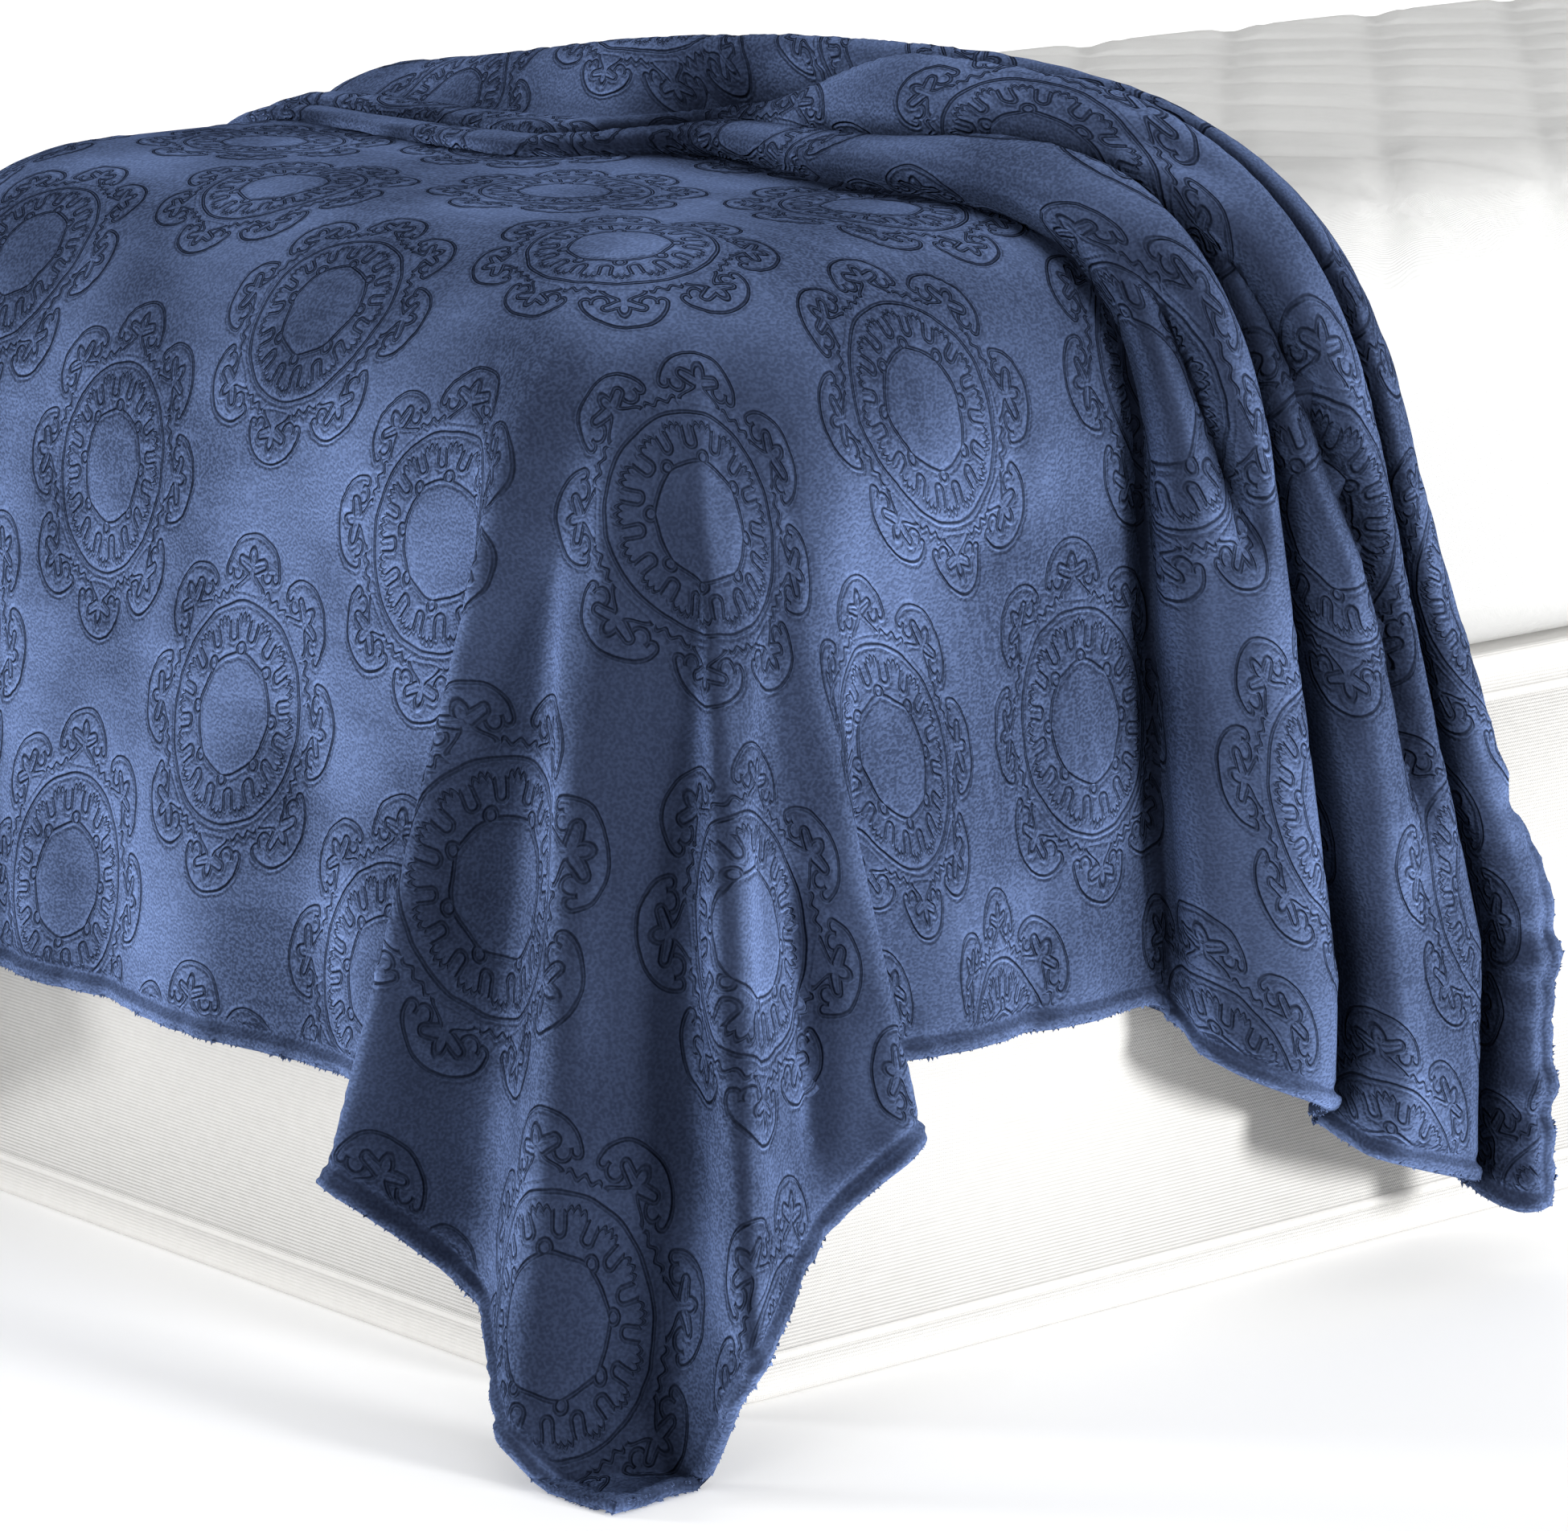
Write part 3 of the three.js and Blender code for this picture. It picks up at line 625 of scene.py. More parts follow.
def pattern_place(along, across):
    """Place on the pattern, in metres of the cloth as it was pressed, of points of the flat cloth."""
    foot, lappet, near = FOOT_DRIFT, LAPPET_DRIFT, NEAR_DRIFT
    on_foot = np.maximum(-along, 0) * smoothstep((across - foot["from"]) / foot["run"])
    on_lappet = np.maximum(-along - lappet["past"], 0) * smoothstep((lappet["from"] - across) / lappet["run"])
    on_near = np.maximum(-across - near["past"], 0) * smoothstep((along - near["from"]) / near["run"])
    on_near = on_near * (1 - near["fade"] * smoothstep((along - near["fade_from"]) / near["run"]))
    drifted = across - foot["share"] * on_foot + lappet["share"] * on_lappet
    count_x = np.interp(along - near["share"] * on_near, LATTICE_ALONG["place"], LATTICE_ALONG["count"])
    count_y = np.interp(drifted, LATTICE_ACROSS["place"], LATTICE_ACROSS["count"])
    return count_x * PATTERN_PERIOD[0], count_y * PATTERN_PERIOD[1]


# Low relief of the pressed pattern in the mesh
RELIEF = {"groove": 0.0007, "half": 0.075, "pad": 0.0006}


def relief_at(x, y):
    broad, _, raised = medallion_parts(x, y)
    groove = 1 - ease(broad, 0.0, RELIEF["half"])
    return RELIEF["pad"] * raised - RELIEF["groove"] * groove


def along_line(line, along, across):
    """Distance of points of the flat cloth from a line on it, and the line's share where it is nearest."""
    nearest, place, way = np.full(along.shape, np.inf), np.zeros(along.shape), 0.0
    for (p0, q0), (p1, q1) in zip(line, line[1:]):
        run = (p1 - p0, q1 - q0)
        size = math.hypot(*run)
        share = np.clip(((along - p0) * run[0] + (across - q0) * run[1]) / size**2, 0, 1)
        distance = np.hypot(along - p0 - share * run[0], across - q0 - share * run[1])
        place = np.where(distance < nearest, way + share * size, place)
        nearest = np.minimum(nearest, distance)
        way += size
    return nearest, place / way


def creases_at(along, across):
    """How far the creases lift the cloth off its folds, or sink it."""
    total = np.zeros(along.shape)
    for crease in CREASES:
        distance, place = along_line(crease["line"], along, across)
        taper = smoothstep(place / CREASE_TAPER) * smoothstep((1 - place) / CREASE_TAPER)
        total += crease["rise"] * taper * np.exp(-((distance / crease["half"]) ** 2))
    return total


def waves(place, lengths):
    """An uneven wave between -1 and 1, from a few plain ones that don't repeat together."""
    parts = [np.sin(2 * math.pi * place / size + number * WAVE_SHIFT) for number, size in enumerate(lengths)]
    return sum(parts) / len(parts)


def pucker_at(along, across):
    """The hem's own waves: strong at the gathered end, slight along the other edges."""
    total = np.zeros(np.broadcast(along, across).shape)
    for pucker, place, edge in (
        (PUCKER["end"], across, ALONG_LAST - along),
        (PUCKER["edge"], across, along - ALONG_FIRST),
        (PUCKER["edge"], along, across - ACROSS_FIRST),
        (PUCKER["edge"], along, ACROSS_LAST - across),
    ):
        fade = 1 - smoothstep(edge / pucker["reach"])
        total = total + pucker["rise"] * fade * waves(place, pucker["lengths"])
    return total


def hem_half(edge):
    """Half of the cloth's thickness, a distance in from its edge."""
    tip = HEM_HALF * np.sqrt(np.clip(1 - (1 - np.clip(edge / HEM_HALF, 0, 1)) ** 2, 0, 1))
    puff = CLOTH_HALF + (HEM_HALF - CLOTH_HALF) * smoothstep((STITCH_FROM_EDGE - edge) / STITCH_RUN)
    pinch = smoothstep(1 - np.abs(edge - STITCH_FROM_EDGE) / STITCH_RUN)
    body = puff + (STITCH_HALF - puff) * pinch
    return np.where(edge < HEM_HALF, tip, body)


def smooth_grid(points):
    """Takes the finest corners off the folds, and leaves the cloth's edges."""
    for _ in range(SMOOTH_PASSES):
        inner = (points[:-2, 1:-1] + points[2:, 1:-1] + points[1:-1, :-2] + points[1:-1, 2:]) / 4
        points[1:-1, 1:-1] = (points[1:-1, 1:-1] + inner) / 2
    return points


def grid_normals(points):
    return unit(np.cross(np.gradient(points, axis=0), np.gradient(points, axis=1)))


def back_lines(count):
    """Every line of the hem and some of those between, for the cloth's plain underside."""
    hem = len(HEM_LINES)
    inner = np.arange(hem - 1, count - hem, BACK_EVERY)
    return np.concatenate([np.arange(hem - 1), inner, np.arange(count - hem, count)])


def rim_pile(middle, normals):
    """Small tufts that stand out of the cloth's edge: three faces each, with their tip outwards."""
    height, width = middle.shape[:2]
    down, right = np.arange(height), np.arange(width)
    path = [
        *[(0, k) for k in right],
        *[(k, width - 1) for k in down[1:]],
        *[(height - 1, k) for k in right[-2::-1]],
        *[(k, 0) for k in down[-2:0:-1]],
        (0, 0),
    ]
    rows, columns = np.array(path).T
    inner_rows = np.clip(rows, RIM["inner"], height - 1 - RIM["inner"])
    inner_columns = np.clip(columns, RIM["inner"], width - 1 - RIM["inner"])
    edge, normal = middle[rows, columns], normals[rows, columns]
    outward = edge - middle[inner_rows, inner_columns]
    way = np.concatenate([[0.0], np.cumsum(np.linalg.norm(np.diff(edge, axis=0), axis=1))])
    count = round(way[-1] / RIM["spacing"])
    random = np.random.default_rng(RIM["seed"])
    at = (np.arange(count) + random.uniform(0, 1, count)) * way[-1] / count

    def read(values):
        return np.stack([np.interp(at, way, values[:, axis]) for axis in range(3)], -1)

    def spread(low, high):
        return random.uniform(low, high, (count, 1))

    foot, out, up = read(edge), unit(read(outward)), unit(read(normal))
    side = unit(np.cross(out, up))
    lean = spread(-1, 1)
    foot = foot - out * spread(*RIM["inset"]) + up * lean * RIM["half"]
    tip = foot + out * spread(*RIM["length"]) + up * lean * RIM["rise"] + side * spread(-1, 1) * RIM["width"]
    wide = spread(*RIM["thick"])
    back, apart = foot - side * wide * RIM["foot_back"], up * wide * RIM["foot_apart"]
    base = [foot + side * wide, back + apart, back - apart]
    vertices = np.stack([*base, tip], 1).reshape(-1, 3)
    first = 4 * np.arange(count)[:, None, None]
    faces = (first + np.array([[0, 1, 3], [1, 2, 3], [2, 0, 3]])).reshape(-1, 3)
    return vertices, faces


# Rays that tell how open the cloth lies, for the shade painted between its folds
OPEN = {"every": 2, "rays": 24, "reach": 0.11, "lift": 0.004, "passes": 2}
GOLDEN_ANGLE = math.pi * (3 - math.sqrt(5))


def openness(points, normals):
    """Share of the rays from each point of the cloth that its folds don't stop: little, deep between them."""
    index = np.arange(points.size // 3).reshape(points.shape[:2])
    tree = BVHTree.FromPolygons(points.reshape(-1, 3).tolist(), grid_faces(index).tolist())
    number = np.arange(OPEN["rays"])
    radius, angle = np.sqrt((number + 0.5) / OPEN["rays"]), number * GOLDEN_ANGLE
    rays = np.column_stack([radius * np.cos(angle), radius * np.sin(angle), np.sqrt(1 - radius**2)])
    rows, columns = [np.append(np.arange(0, size - 1, OPEN["every"]), size - 1) for size in points.shape[:2]]
    some = np.ix_(rows, columns)
    up, ahead = normals[some], np.gradient(points, axis=0)[some]
    side = unit(np.cross(up, ahead))
    turned = rays @ np.stack([side, np.cross(up, side), up], -2)
    start = points[some] + OPEN["lift"] * up
    free = np.zeros(start.shape[:2])
    for place in np.ndindex(free.shape):
        stopped = [tree.ray_cast(start[place], ray, OPEN["reach"])[0] is not None for ray in turned[place]]
        free[place] = 1 - sum(stopped) / OPEN["rays"]
    for _ in range(OPEN["passes"]):
        wide = np.pad(free, 1, mode="edge")
        free = (wide[:-2, 1:-1] + wide[2:, 1:-1] + wide[1:-1, :-2] + wide[1:-1, 2:] + 4 * free) / 8
    free = np.stack([np.interp(np.arange(points.shape[1]), columns, row) for row in free])
    return np.stack([np.interp(np.arange(points.shape[0]), rows, column) for column in free.T], -1)


def linked(name, data):
    """A new object in the scene."""
    made = bpy.data.objects.new(name, data)
    bpy.context.collection.objects.link(made)
    return made


def new_object(name, vertices, faces, material):
    mesh = bpy.data.meshes.new(name)
    mesh.from_pydata(vertices.tolist(), [], faces)
    mesh.materials.append(material)
    mesh.polygons.foreach_set("use_smooth", np.ones(len(mesh.polygons), bool))
    mesh.update()
    return linked(name, mesh)


def grid_faces(index):
    """Four-sided faces over a grid of vertex numbers."""
    corners = [index[:-1, :-1], index[1:, :-1], index[1:, 1:], index[:-1, 1:]]
    return np.stack([corner.ravel() for corner in corners], -1)


def rim_faces(back, rows, columns, count):
    """Faces that join the underside's first lines to the cloth's edge, which has more points."""
    height, width = count

    def side(numbers, edge, inner, flip):
        faces = []
        for (a, b), (c, d) in zip(zip(numbers, numbers[1:]), zip(inner, inner[1:])):
            face = [edge(k) for k in range(a, b + 1)] + [d, c]
            faces.append(face[::-1] if flip else face)
        return faces

    inner_rows, inner_columns = rows[1:-1], columns[1:-1]
    corner_row = [0, *inner_rows[1:-1], height - 1]
    corner_column = [0, *inner_columns[1:-1], width - 1]
    return [
        *side(corner_column, lambda k: k, back[0], False),
        *side(corner_column, lambda k: (height - 1) * width + k, back[-1], True),
        *side(corner_row, lambda k: k * width, back[:, 0], True),
        *side(corner_row, lambda k: k * width + width - 1, back[:, -1], False),
    ]


def make_blanket(material):
    along = grid_lines(ALONG_FIRST, ALONG_LAST, CELL)
    across = grid_lines(ACROSS_FIRST, ACROSS_LAST, CELL, FAR_START)
    middle = np.stack([cloth_row(line, across) for line in along])
    middle = smooth_grid(middle)
    lift = creases_at(*np.meshgrid(along, across, indexing="ij")) + pucker_at(along[:, None], across[None, :])
    middle += grid_normals(middle) * lift[:, :, None]
    normals = grid_normals(middle)
    edge_along = np.minimum(along - ALONG_FIRST, ALONG_LAST - along)[:, None]
    edge_across = np.minimum(across - ACROSS_FIRST, ACROSS_LAST - across)[None, :]
    edge = np.minimum(edge_along, edge_across)
    lumps = 1 + HEM_LUMPS["share"] * waves(along[:, None] + across[None, :], HEM_LUMPS["lengths"])
    half = hem_half(edge) * np.where(edge < STITCH_FROM_EDGE, lumps, 1.0)
    pattern_x, pattern_y = pattern_place(along[:, None], across[None, :])
    relief = relief_at(pattern_x, pattern_y) * smoothstep((edge - STITCH_FROM_EDGE) / STITCH_RUN)
    upper = middle + normals * (half + relief)[:, :, None]
    lower = middle - normals * half[:, :, None]

    rows, columns = back_lines(len(along)), back_lines(len(across))
    inner_rows, inner_columns = rows[1:-1], columns[1:-1]
    inner = np.ix_(inner_rows, inner_columns)
    under = lower[inner]
    front_index = np.arange(upper.shape[0] * upper.shape[1]).reshape(upper.shape[:2])
    back_index = front_index.size + np.arange(under.shape[0] * under.shape[1]).reshape(under.shape[:2])
    faces = grid_faces(front_index).tolist()
    faces += grid_faces(back_index)[:, ::-1].tolist()
    faces += rim_faces(back_index, rows, columns, upper.shape[:2])
    tufts, tuft_faces = rim_pile(middle, normals)
    faces += (tuft_faces + upper.size // 3 + under.size // 3).tolist()
    vertices = np.concatenate([upper.reshape(-1, 3), under.reshape(-1, 3), tufts]) + BED_ORIGIN
    vertices[:, 2] = np.maximum(vertices[:, 2], FLOOR_LEAST)
    blanket = new_object("plush_blanket", vertices, faces, material)

    pattern = np.stack([pattern_x, pattern_y], -1)
    at_tufts = np.zeros((len(tufts), 2))
    pattern = np.concatenate([pattern.reshape(-1, 2), pattern[inner].reshape(-1, 2), at_tufts])
    numbers = np.zeros(len(blanket.data.loops), int)
    blanket.data.loops.foreach_get("vertex_index", numbers)
    blanket.data.uv_layers.new(name="pattern").data.foreach_set("uv", pattern[numbers].ravel())
    # The edge's distance, and how open each point lies; the plush paints shade between the folds from the
    # second
    for name, grid, at_rim in (("edge", edge, 0.0), ("open", openness(upper, normals), 1.0)):
        values = np.concatenate([grid.ravel(), grid[inner].ravel(), np.full(len(tufts), at_rim)])
        blanket.data.attributes.new(name, "FLOAT", "POINT").data.foreach_set("value", values)
    return blanket


# Materials
def new_material(name):
    material = bpy.data.materials.new(name)
    material.use_nodes = True
    tree = material.node_tree
    return material, tree, tree.nodes["Principled BSDF"]


def set_inputs(node, values):
    for name, value in values.items():
        node.inputs[name].default_value = value


def object_place(tree):
    return tree.nodes.new("ShaderNodeTexCoord").outputs["Object"]


def split(tree, vector):
    """The three numbers of a vector."""
    node = tree.nodes.new("ShaderNodeSeparateXYZ")
    tree.links.new(vector, node.inputs["Vector"])
    return [Wire(tree, node.outputs[axis]) for axis in "XYZ"]


def noise(tree, place, scale, detail=0.0, roughness=0.5):
    node = tree.nodes.new("ShaderNodeTexNoise")
    set_inputs(node, {"Scale": scale, "Detail": detail, "Roughness": roughness})
    tree.links.new(place, node.inputs["Vector"])
    return Wire(tree, node.outputs["Fac"])


def colour_mix(tree, share, first, second):
    node = tree.nodes.new("ShaderNodeMix")
    node.data_type = "RGBA"
    feed(tree, node.inputs[0], share)
    for socket, colour in ((node.inputs[6], first), (node.inputs[7], second)):
        if isinstance(colour, Wire):
            tree.links.new(colour.socket, socket)
        else:
            socket.default_value = (*colour, 1.0)
    return Wire(tree, node.outputs[2])


def bump(tree, shader, height):
    node = tree.nodes.new("ShaderNodeBump")
    set_inputs(node, {"Strength": 1.0, "Distance": 1.0})
    feed(tree, node.inputs["Height"], height)
    tree.links.new(node.outputs["Normal"], shader.inputs["Normal"])
    return node.outputs["Normal"]


# The plush: its pressed lines are as wide as these shares of a medallion's radius, and so many metres deep
PLUSH_DEEP = (0.012, 0.0165, 0.033)
PLUSH_LIGHT = (0.021, 0.029, 0.056)
# The dark colour painted into the pressed lines and between the folds: painted shade
PLUSH_PAINTED_SHADE = (0.003, 0.004, 0.008)
PLUSH_SHEEN = (0.36, 0.52, 1.0)
LINE_FLOOR = 0.002
LINE_HALF = 0.016
LINE_LIP = 0.042
LINE_DEPTH = 0.0021
LIP_RISE = 0.0007
PAD_RISE = 0.0012
WOBBLE = {"scales": (55.0, 62.15), "reach": 0.0024}
CRUSHED = {"noise": {"scale": 8.0, "detail": 1.0, "roughness": 0.55}, "range": (0.3, 0.7), "rise": 0.0015}
STREAK = {"noise": {"scale": 1.0, "detail": 1.0, "roughness": 0.6}, "across": 90.0, "along": 14.0}
PILE = {"scale": 470.0, "range": (0.25, 0.75), "rise": 0.00025}
# The groove shares darken the pressed lines' colour and sheen: painted shade
TONE = {"crushed": 0.4, "pile": 0.6, "groove": 0.4}
SHINE = {"crushed": 0.75, "streak": 0.5, "pile": 0.45, "least": 0.10, "groove": 0.35}
SHEEN_RISE = (-0.05, 0.27)
SHEEN_FALL = (0.60, 0.90)
SHEEN_FALL_SHARE = 0.25
# Painted shade on faces that turn up, and a painted light from one fixed direction on the relief's slopes
PAINTED_TOP_SHADE = (0.0, 0.5)
PAINTED_TOP_SHADE_SHARE = 0.5
PAINTED_LIGHT_DIRECTION = (-0.45, -0.45, 0.77)
PAINTED_LIGHT_TILT = 2.6
PAINTED_LIGHT_LEAST = 0.15
SHEEN_SHARE = 0.64
# Painted shade between the folds: how closed a point lies darkens its colour and its sheen, down to the least
# share
PAINTED_VALLEY_SHADE = (0.40, 0.97)
PAINTED_VALLEY_LEAST = 0.2


def towards(tree, vector, direction):
    """How far a vector points in a direction."""
    node = tree.nodes.new("ShaderNodeVectorMath")
    node.operation = "DOT_PRODUCT"
    tree.links.new(vector, node.inputs[0])
    node.inputs[1].default_value = direction
    return Wire(tree, node.outputs["Value"])


def pile_sheen_and_painted_light(tree, relief_normal):
    """How much the pile shines: more at a slant, less where it faces up, which is painted shade, and more on
    the relief's slopes that face one fixed direction, which is painted light.
    """
    node = tree.nodes.new("ShaderNodeLayerWeight")
    node.inputs["Blend"].default_value = 0.5
    facing = Wire(tree, node.outputs["Facing"])
    normal = tree.nodes.new("ShaderNodeNewGeometry").outputs["Normal"]
    # Painted shade: less sheen where the cloth faces up
    painted_top_shade = 1.0 - ease(towards(tree, normal, (0.0, 0.0, 1.0)), *PAINTED_TOP_SHADE) * PAINTED_TOP_SHADE_SHARE
    # Painted light: slopes of the relief that face one fixed direction shine more, the others less
    tilt = towards(tree, relief_normal, PAINTED_LIGHT_DIRECTION) - towards(tree, normal, PAINTED_LIGHT_DIRECTION)
    painted_light = step("MAXIMUM", tilt * PAINTED_LIGHT_TILT + 1.0, PAINTED_LIGHT_LEAST)
    slant = ease(facing, *SHEEN_RISE) * (1.0 - ease(facing, *SHEEN_FALL) * SHEEN_FALL_SHARE)
    return slant * painted_top_shade * painted_light * SHEEN_SHARE


def attribute(tree, name):
    node = tree.nodes.new("ShaderNodeAttribute")
    node.attribute_name = name
    return Wire(tree, node.outputs["Fac"])


def plush_material():
    material, tree, shader = new_material("plush")
    place = object_place(tree)
    uv = tree.nodes.new("ShaderNodeUVMap")
    uv.uv_map = "pattern"
    pattern_x, pattern_y, _ = split(tree, uv.outputs["UV"])
    wobble_x, wobble_y = [(noise(tree, place, scale) - 0.5) * WOBBLE["reach"] for scale in WOBBLE["scales"]]
    broad, fine, raised = medallion_parts(pattern_x + wobble_x, pattern_y + wobble_y)
    inside = ease(attribute(tree, "edge"), STITCH_FROM_EDGE, STITCH_FROM_EDGE + STITCH_RUN)
    line = step("MINIMUM", broad, fine)
    groove = (1.0 - ease(line, LINE_FLOOR, LINE_HALF)) * inside
    lip = (1.0 - ease(line, LINE_HALF, LINE_LIP)) * inside
    crushed = ease(noise(tree, place, **CRUSHED["noise"]), *CRUSHED["range"])
    combed = tree.nodes.new("ShaderNodeCombineXYZ")
    feed(tree, combed.inputs["X"], pattern_x * STREAK["across"])
    feed(tree, combed.inputs["Y"], pattern_y * STREAK["along"])
    streak = noise(tree, combed.outputs["Vector"], **STREAK["noise"])
    pile = ease(noise(tree, place, PILE["scale"]), *PILE["range"])
    colour = colour_mix(tree, crushed * TONE["crushed"] + pile * TONE["pile"], PLUSH_DEEP, PLUSH_LIGHT)
    # Painted shade between the folds, from how open the cloth lies
    painted_fold_shade = ease(attribute(tree, "open"), *PAINTED_VALLEY_SHADE) * (1 - PAINTED_VALLEY_LEAST) + PAINTED_VALLEY_LEAST
    # Painted shade: the pressed lines' colour goes darker
    colour = colour_mix(tree, groove * TONE["groove"], colour, PLUSH_PAINTED_SHADE)
    colour = colour_mix(tree, painted_fold_shade, PLUSH_PAINTED_SHADE, colour)
    tree.links.new(colour.socket, shader.inputs["Base Color"])
    relief = pile * PILE["rise"] + crushed * CRUSHED["rise"] + raised * inside * PAD_RISE
    normal = bump(tree, shader, relief + lip * LIP_RISE - groove * (LINE_DEPTH + LIP_RISE))
    shine = crushed * SHINE["crushed"] + streak * SHINE["streak"] + pile * SHINE["pile"] + SHINE["least"]
    # Painted shade: the sheen goes down in the pressed lines and between the folds
    shine = shine * (1.0 - groove * SHINE["groove"]) * painted_fold_shade
    feed(tree, shader.inputs["Sheen Weight"], shine * pile_sheen_and_painted_light(tree, normal))
    set_inputs(shader, {"Roughness": 0.95, "Specular IOR Level": 0.0})
    set_inputs(shader, {"Sheen Roughness": 0.8, "Sheen Tint": (*PLUSH_SHEEN, 1.0)})
    return material


SLUB = {"noise": {"scale": 90.0, "detail": 1.0, "roughness": 0.6}, "tone": 0.7, "rise": 0.0006}
WEAVE = {"tone": 0.15, "rise": 0.0002}
MATTRESS_COVER = {"tone": (0.72, 0.72, 0.71), "shade": (0.66, 0.66, 0.65), "thread": 0.0012}
BASE_COVER = {"tone": (0.64, 0.63, 0.61), "shade": (0.57, 0.56, 0.54), "thread": 0.0025}


def cotton_material(name, tone, shade, thread):
    """A plain woven cover: crossed threads, a little uneven."""
    material, tree, shader = new_material(name)
    place = object_place(tree)
    turns = 2 * math.pi / thread
    x, y, z = split(tree, place)
    weave = step("SINE", (x + y) * turns) * step("SINE", (z + x - y) * turns)
    slub = noise(tree, place, **SLUB["noise"])
    colour = colour_mix(tree, slub * SLUB["tone"] + weave * WEAVE["tone"], tone, shade)
    tree.links.new(colour.socket, shader.inputs["Base Color"])
    set_inputs(shader, {"Roughness": 0.85, "Specular IOR Level": 0.25, "Sheen Weight": 0.15})
    bump(tree, shader, weave * WEAVE["rise"] + slub * SLUB["rise"])
    return material


FLOOR = {"side": 60.0, "patches": 3.0, "tones": ((0.90, 0.90, 0.90), (0.93, 0.93, 0.93)), "glow": 0.2}


def floor_material():
    material, tree, shader = new_material("floor")
    place = object_place(tree)
    colour = colour_mix(tree, noise(tree, place, FLOOR["patches"]), *FLOOR["tones"])
    tree.links.new(colour.socket, shader.inputs["Base Color"])
    tree.links.new(colour.socket, shader.inputs["Emission Color"])
    set_inputs(shader, {"Emission Strength": FLOOR["glow"], "Roughness": 0.95, "Specular IOR Level": 0.0})
    return material


# The bed
RING_STEPS = {"corner": 12, "end": 40, "side": 120}
MATTRESS_CORNER = 0.20
BOTTOM_ROUND = 0.045
BOTTOM_FILL = 0.25
BASE_CORNER = 0.09
BASE_EDGE = 0.008
BASE_FILL = 0.3
LEAST_CORNER = 0.002
PROFILE_STEPS = {"bottom": 7, "shoulder": 27, "edge": 4}


def rounded_ring(inset, radius):
    """Points round the bed's outline, set in, counter-clockwise from its near head corner."""
    far_x, far_y = BED_LENGTH - inset - radius, BED_WIDTH - inset - radius
    near = inset + radius
    centres = [(far_x, near), (far_x, far_y), (near, far_y), (near, near)]
    corners = []
    for number, centre in enumerate(centres):
        angle = math.pi / 2 * (number - 1 + np.arange(RING_STEPS["corner"] + 1) / RING_STEPS["corner"])
        corners.append(np.array(centre) + radius * np.column_stack([np.cos(angle), np.sin(angle)]))
    points = []
    for number, corner in enumerate(corners):
        steps = RING_STEPS["end"] if number % 2 == 0 else RING_STEPS["side"]
        share = (np.arange(1, steps) / steps)[:, None]
        points += [corner, corner[-1] + share * (corners[(number + 1) % 4][0] - corner[-1])]
    return np.concatenate(points)


def ring_faces(rings, count):
    index = np.arange(rings * count).reshape(rings, count)
    index = np.concatenate([index, index[:, :1]], axis=1)
    corners = [index[:-1, :-1], index[:-1, 1:], index[1:, 1:], index[1:, :-1]]
    return np.stack([corner.ravel() for corner in corners], -1).tolist()


def stacked_rings(profile, corner):
    """Rings of points at a profile's insets and heights. An inset makes the corner's radius smaller."""
    rings = []
    for inset, z in profile:
        ring = rounded_ring(inset, max(corner - inset, LEAST_CORNER))
        rings.append(np.column_stack([ring, np.full(len(ring), z)]))
    return rings


QUILT = {"pitch": 0.16, "half": 0.022, "depth": 0.004, "fade_from": 0.12, "fade_run": 0.1}


def quilt_at(points):
    """Depth of the stitched diamonds below the mattress's face."""
    lines = []
    for sign in (1, -1):
        place = (points[:, 0] + sign * points[:, 1]) / QUILT["pitch"]
        lines.append(np.abs(place - np.round(place)) * QUILT["pitch"] / math.sqrt(2))
    near = np.minimum(*lines)
    return QUILT["depth"] * (1 - smoothstep(near / QUILT["half"]))


def fill_ring(ring, first):
    """Points blended in from the four sides of a ring, and faces over them. Its numbers start at first."""
    half = RING_STEPS["corner"] // 2
    rows, columns = RING_STEPS["end"] + 2 * half, RING_STEPS["side"] + 2 * half
    ring = np.roll(ring, -half, axis=0)
    number = first + np.roll(np.arange(len(ring)), -half)
    head = np.arange(rows + 1)
    far = rows + np.arange(columns + 1)
    foot = rows + columns + np.arange(rows, -1, -1)
    near = (2 * rows + columns + np.arange(columns, -1, -1)) % len(ring)
    u = (np.arange(columns + 1) / columns)[None, :, None]
    v = (np.arange(rows + 1) / rows)[:, None, None]
    across = (1 - u) * ring[head][:, None] + u * ring[foot][:, None]
    along = (1 - v) * ring[near][None] + v * ring[far][None]
    near_ends = (1 - u) * ring[head[0]] + u * ring[foot[0]]
    far_ends = (1 - u) * ring[head[-1]] + u * ring[foot[-1]]
    ends = (1 - v) * near_ends + v * far_ends
    inside = (across + along - ends)[1:-1, 1:-1]
    index = np.zeros((rows + 1, columns + 1), int)
    index[:, 0], index[-1], index[:, -1], index[0] = number[head], number[far], number[foot], number[near]
    index[1:-1, 1:-1] = first + len(ring) + np.arange(inside.size // 2).reshape(inside.shape[:2])
    return inside.reshape(-1, 2), grid_faces(index).tolist()


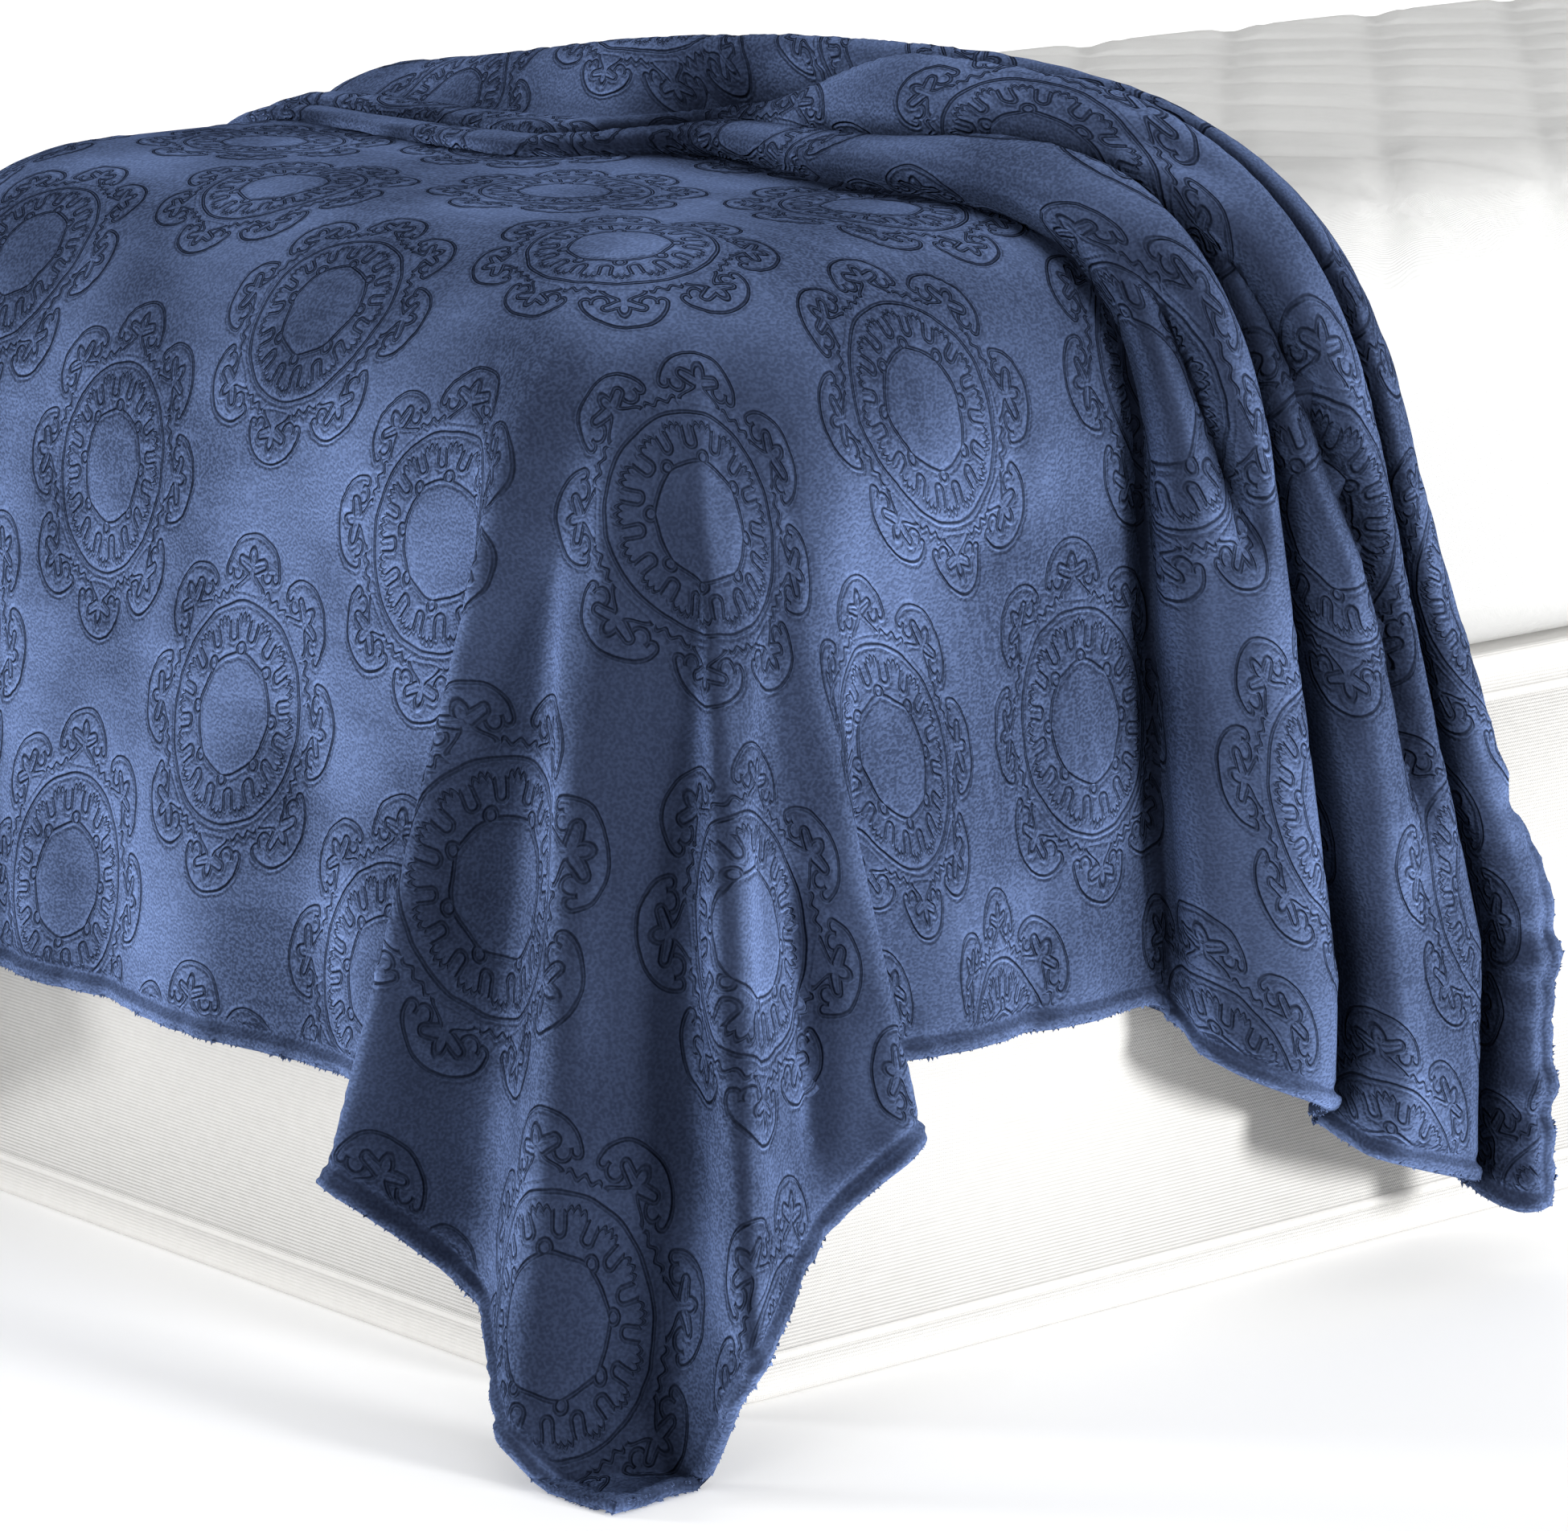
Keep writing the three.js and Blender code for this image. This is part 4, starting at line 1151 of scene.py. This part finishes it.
def make_mattress(material):
    bottom = mattress_low.z
    rim = BED_TOP - REST_GAP
    profile = [(BOTTOM_FILL, bottom), (BOTTOM_ROUND, bottom)]
    for a in np.linspace(0, math.pi / 2, PROFILE_STEPS["bottom"] + 1)[1:]:
        profile.append((BOTTOM_ROUND * (1 - math.sin(a)), bottom + BOTTOM_ROUND * (1 - math.cos(a))))
    for arc in np.linspace(SHOULDER_ARC, 0, PROFILE_STEPS["shoulder"] + 1):
        profile.append((SHOULDER_START * (1 - out_at(arc) / SHOULDER_REACH), rim - down_at(arc)))
    loops = stacked_rings(profile, MATTRESS_CORNER)
    count = len(loops[0])
    inside, top_faces = fill_ring(loops[-1][:, :2], count * (len(loops) - 1))
    points = np.concatenate([*loops, np.column_stack([inside, np.full(len(inside), rim)])])
    top = smoothstep((points[:, 2] - rim + QUILT["fade_from"]) / QUILT["fade_run"])
    points[:, 2] += np.where(points[:, 2] >= rim - TINY, crown_at(points[:, 0], points[:, 1]), 0.0)
    points[:, 2] -= quilt_at(points) * top
    faces = ring_faces(len(loops), count) + top_faces
    faces.append(list(range(count))[::-1])
    return new_object("quilted_mattress", points + BED_ORIGIN, faces, material)


PIPING = {"radius": 0.004, "from_end": 0.03, "steps": 5}


def make_base(material):
    height = base_high.z
    inset = base_low.y - mattress_low.y
    turn = np.linspace(0, math.pi / 2, PROFILE_STEPS["edge"] + 1)
    edge = [(inset + BASE_EDGE * (1 - math.sin(a)), BASE_EDGE * (1 - math.cos(a))) for a in turn]
    profile = [(inset + BASE_FILL, 0.0), *edge]
    for middle in (PIPING["from_end"], height - PIPING["from_end"]):
        for a in np.linspace(-math.pi / 2, math.pi / 2, 2 * PIPING["steps"] + 1):
            profile.append((inset - PIPING["radius"] * math.cos(a), middle + PIPING["radius"] * math.sin(a)))
    profile += [(set_in, height - up) for set_in, up in reversed(edge)]
    profile.append((inset + BASE_FILL, height))
    loops = stacked_rings(profile, BASE_CORNER + inset)
    count = len(loops[0])
    faces = ring_faces(len(loops), count)
    faces.append(list(range(count))[::-1])
    faces.append([(len(loops) - 1) * count + i for i in range(count)])
    return new_object("upholstered_base", np.concatenate(loops) + BED_ORIGIN, faces, material)


# Stage, lights and camera
LIGHTS = table(("name", "direction", "strength", "spread"), [
    ("left", (-0.62, 0.77, 0.14), 2.2, 12.0),
    ("right", (0.20, -0.97, 0.14), 4.1, 12.0),
    ("fill", (-0.93, -0.33, 0.14), 1.3, 24.0),
])
STUDIO = {"level": 0.32, "overhead": 0.75, "range": (0.05, 0.7)}


def make_floor():
    half = FLOOR["side"] / 2
    corners = np.array([(-half, -half, 0), (half, -half, 0), (half, half, 0), (-half, half, 0)], float)
    floor = new_object("floor", corners, [[0, 1, 2, 3]], floor_material())


def add_light(name, direction, strength, spread):
    """A broad, even light that comes from one direction."""
    data = bpy.data.lights.new(name, "SUN")
    data.energy = strength
    data.angle = math.radians(spread)
    light = linked(name, data)
    light.rotation_mode = "QUATERNION"
    light.rotation_quaternion = Vector(direction).to_track_quat("Z", "Y")


def add_world():
    """A white studio, brighter overhead than all round."""
    world = bpy.data.worlds.new("studio")
    world.use_nodes = True
    tree = world.node_tree
    background = tree.nodes["Background"]
    background.inputs["Color"].default_value = (1.0, 1.0, 1.0, 1.0)
    height = split(tree, tree.nodes.new("ShaderNodeTexCoord").outputs["Generated"])[2]
    rise = ease(height, *STUDIO["range"]) * (STUDIO["overhead"] - STUDIO["level"])
    feed(tree, background.inputs["Strength"], rise + STUDIO["level"])
    bpy.context.scene.world = world


def add_camera():
    data = bpy.data.cameras.new("camera")
    data.sensor_width = SENSOR_WIDTH
    data.lens = FOCAL_PIXELS / IMAGE_WIDTH * SENSOR_WIDTH
    camera = linked("camera", data)
    level = math.cos(CAMERA_ELEVATION)
    back = Vector((
        math.sin(CAMERA_AZIMUTH) * level,
        -math.cos(CAMERA_AZIMUTH) * level,
        math.sin(CAMERA_ELEVATION),
    ))
    camera.location = CAMERA_TARGET + back * CAMERA_DISTANCE
    camera.rotation_mode = "QUATERNION"
    camera.rotation_quaternion = (-back).to_track_quat("-Z", "Y")
    bpy.context.scene.camera = camera


add_camera()
add_world()
for light in LIGHTS:
    add_light(**light)
bpy.context.scene.view_settings.view_transform = "Standard"
make_floor()

blanket = make_blanket(plush_material())
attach(blanket, "root")
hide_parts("blanket")

mattress = make_mattress(cotton_material("mattress_cover", **MATTRESS_COVER))
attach(mattress, "root")
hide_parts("mattress")

base = make_base(cotton_material("base_cover", **BASE_COVER))
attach(base, "root")
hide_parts("bed_base")
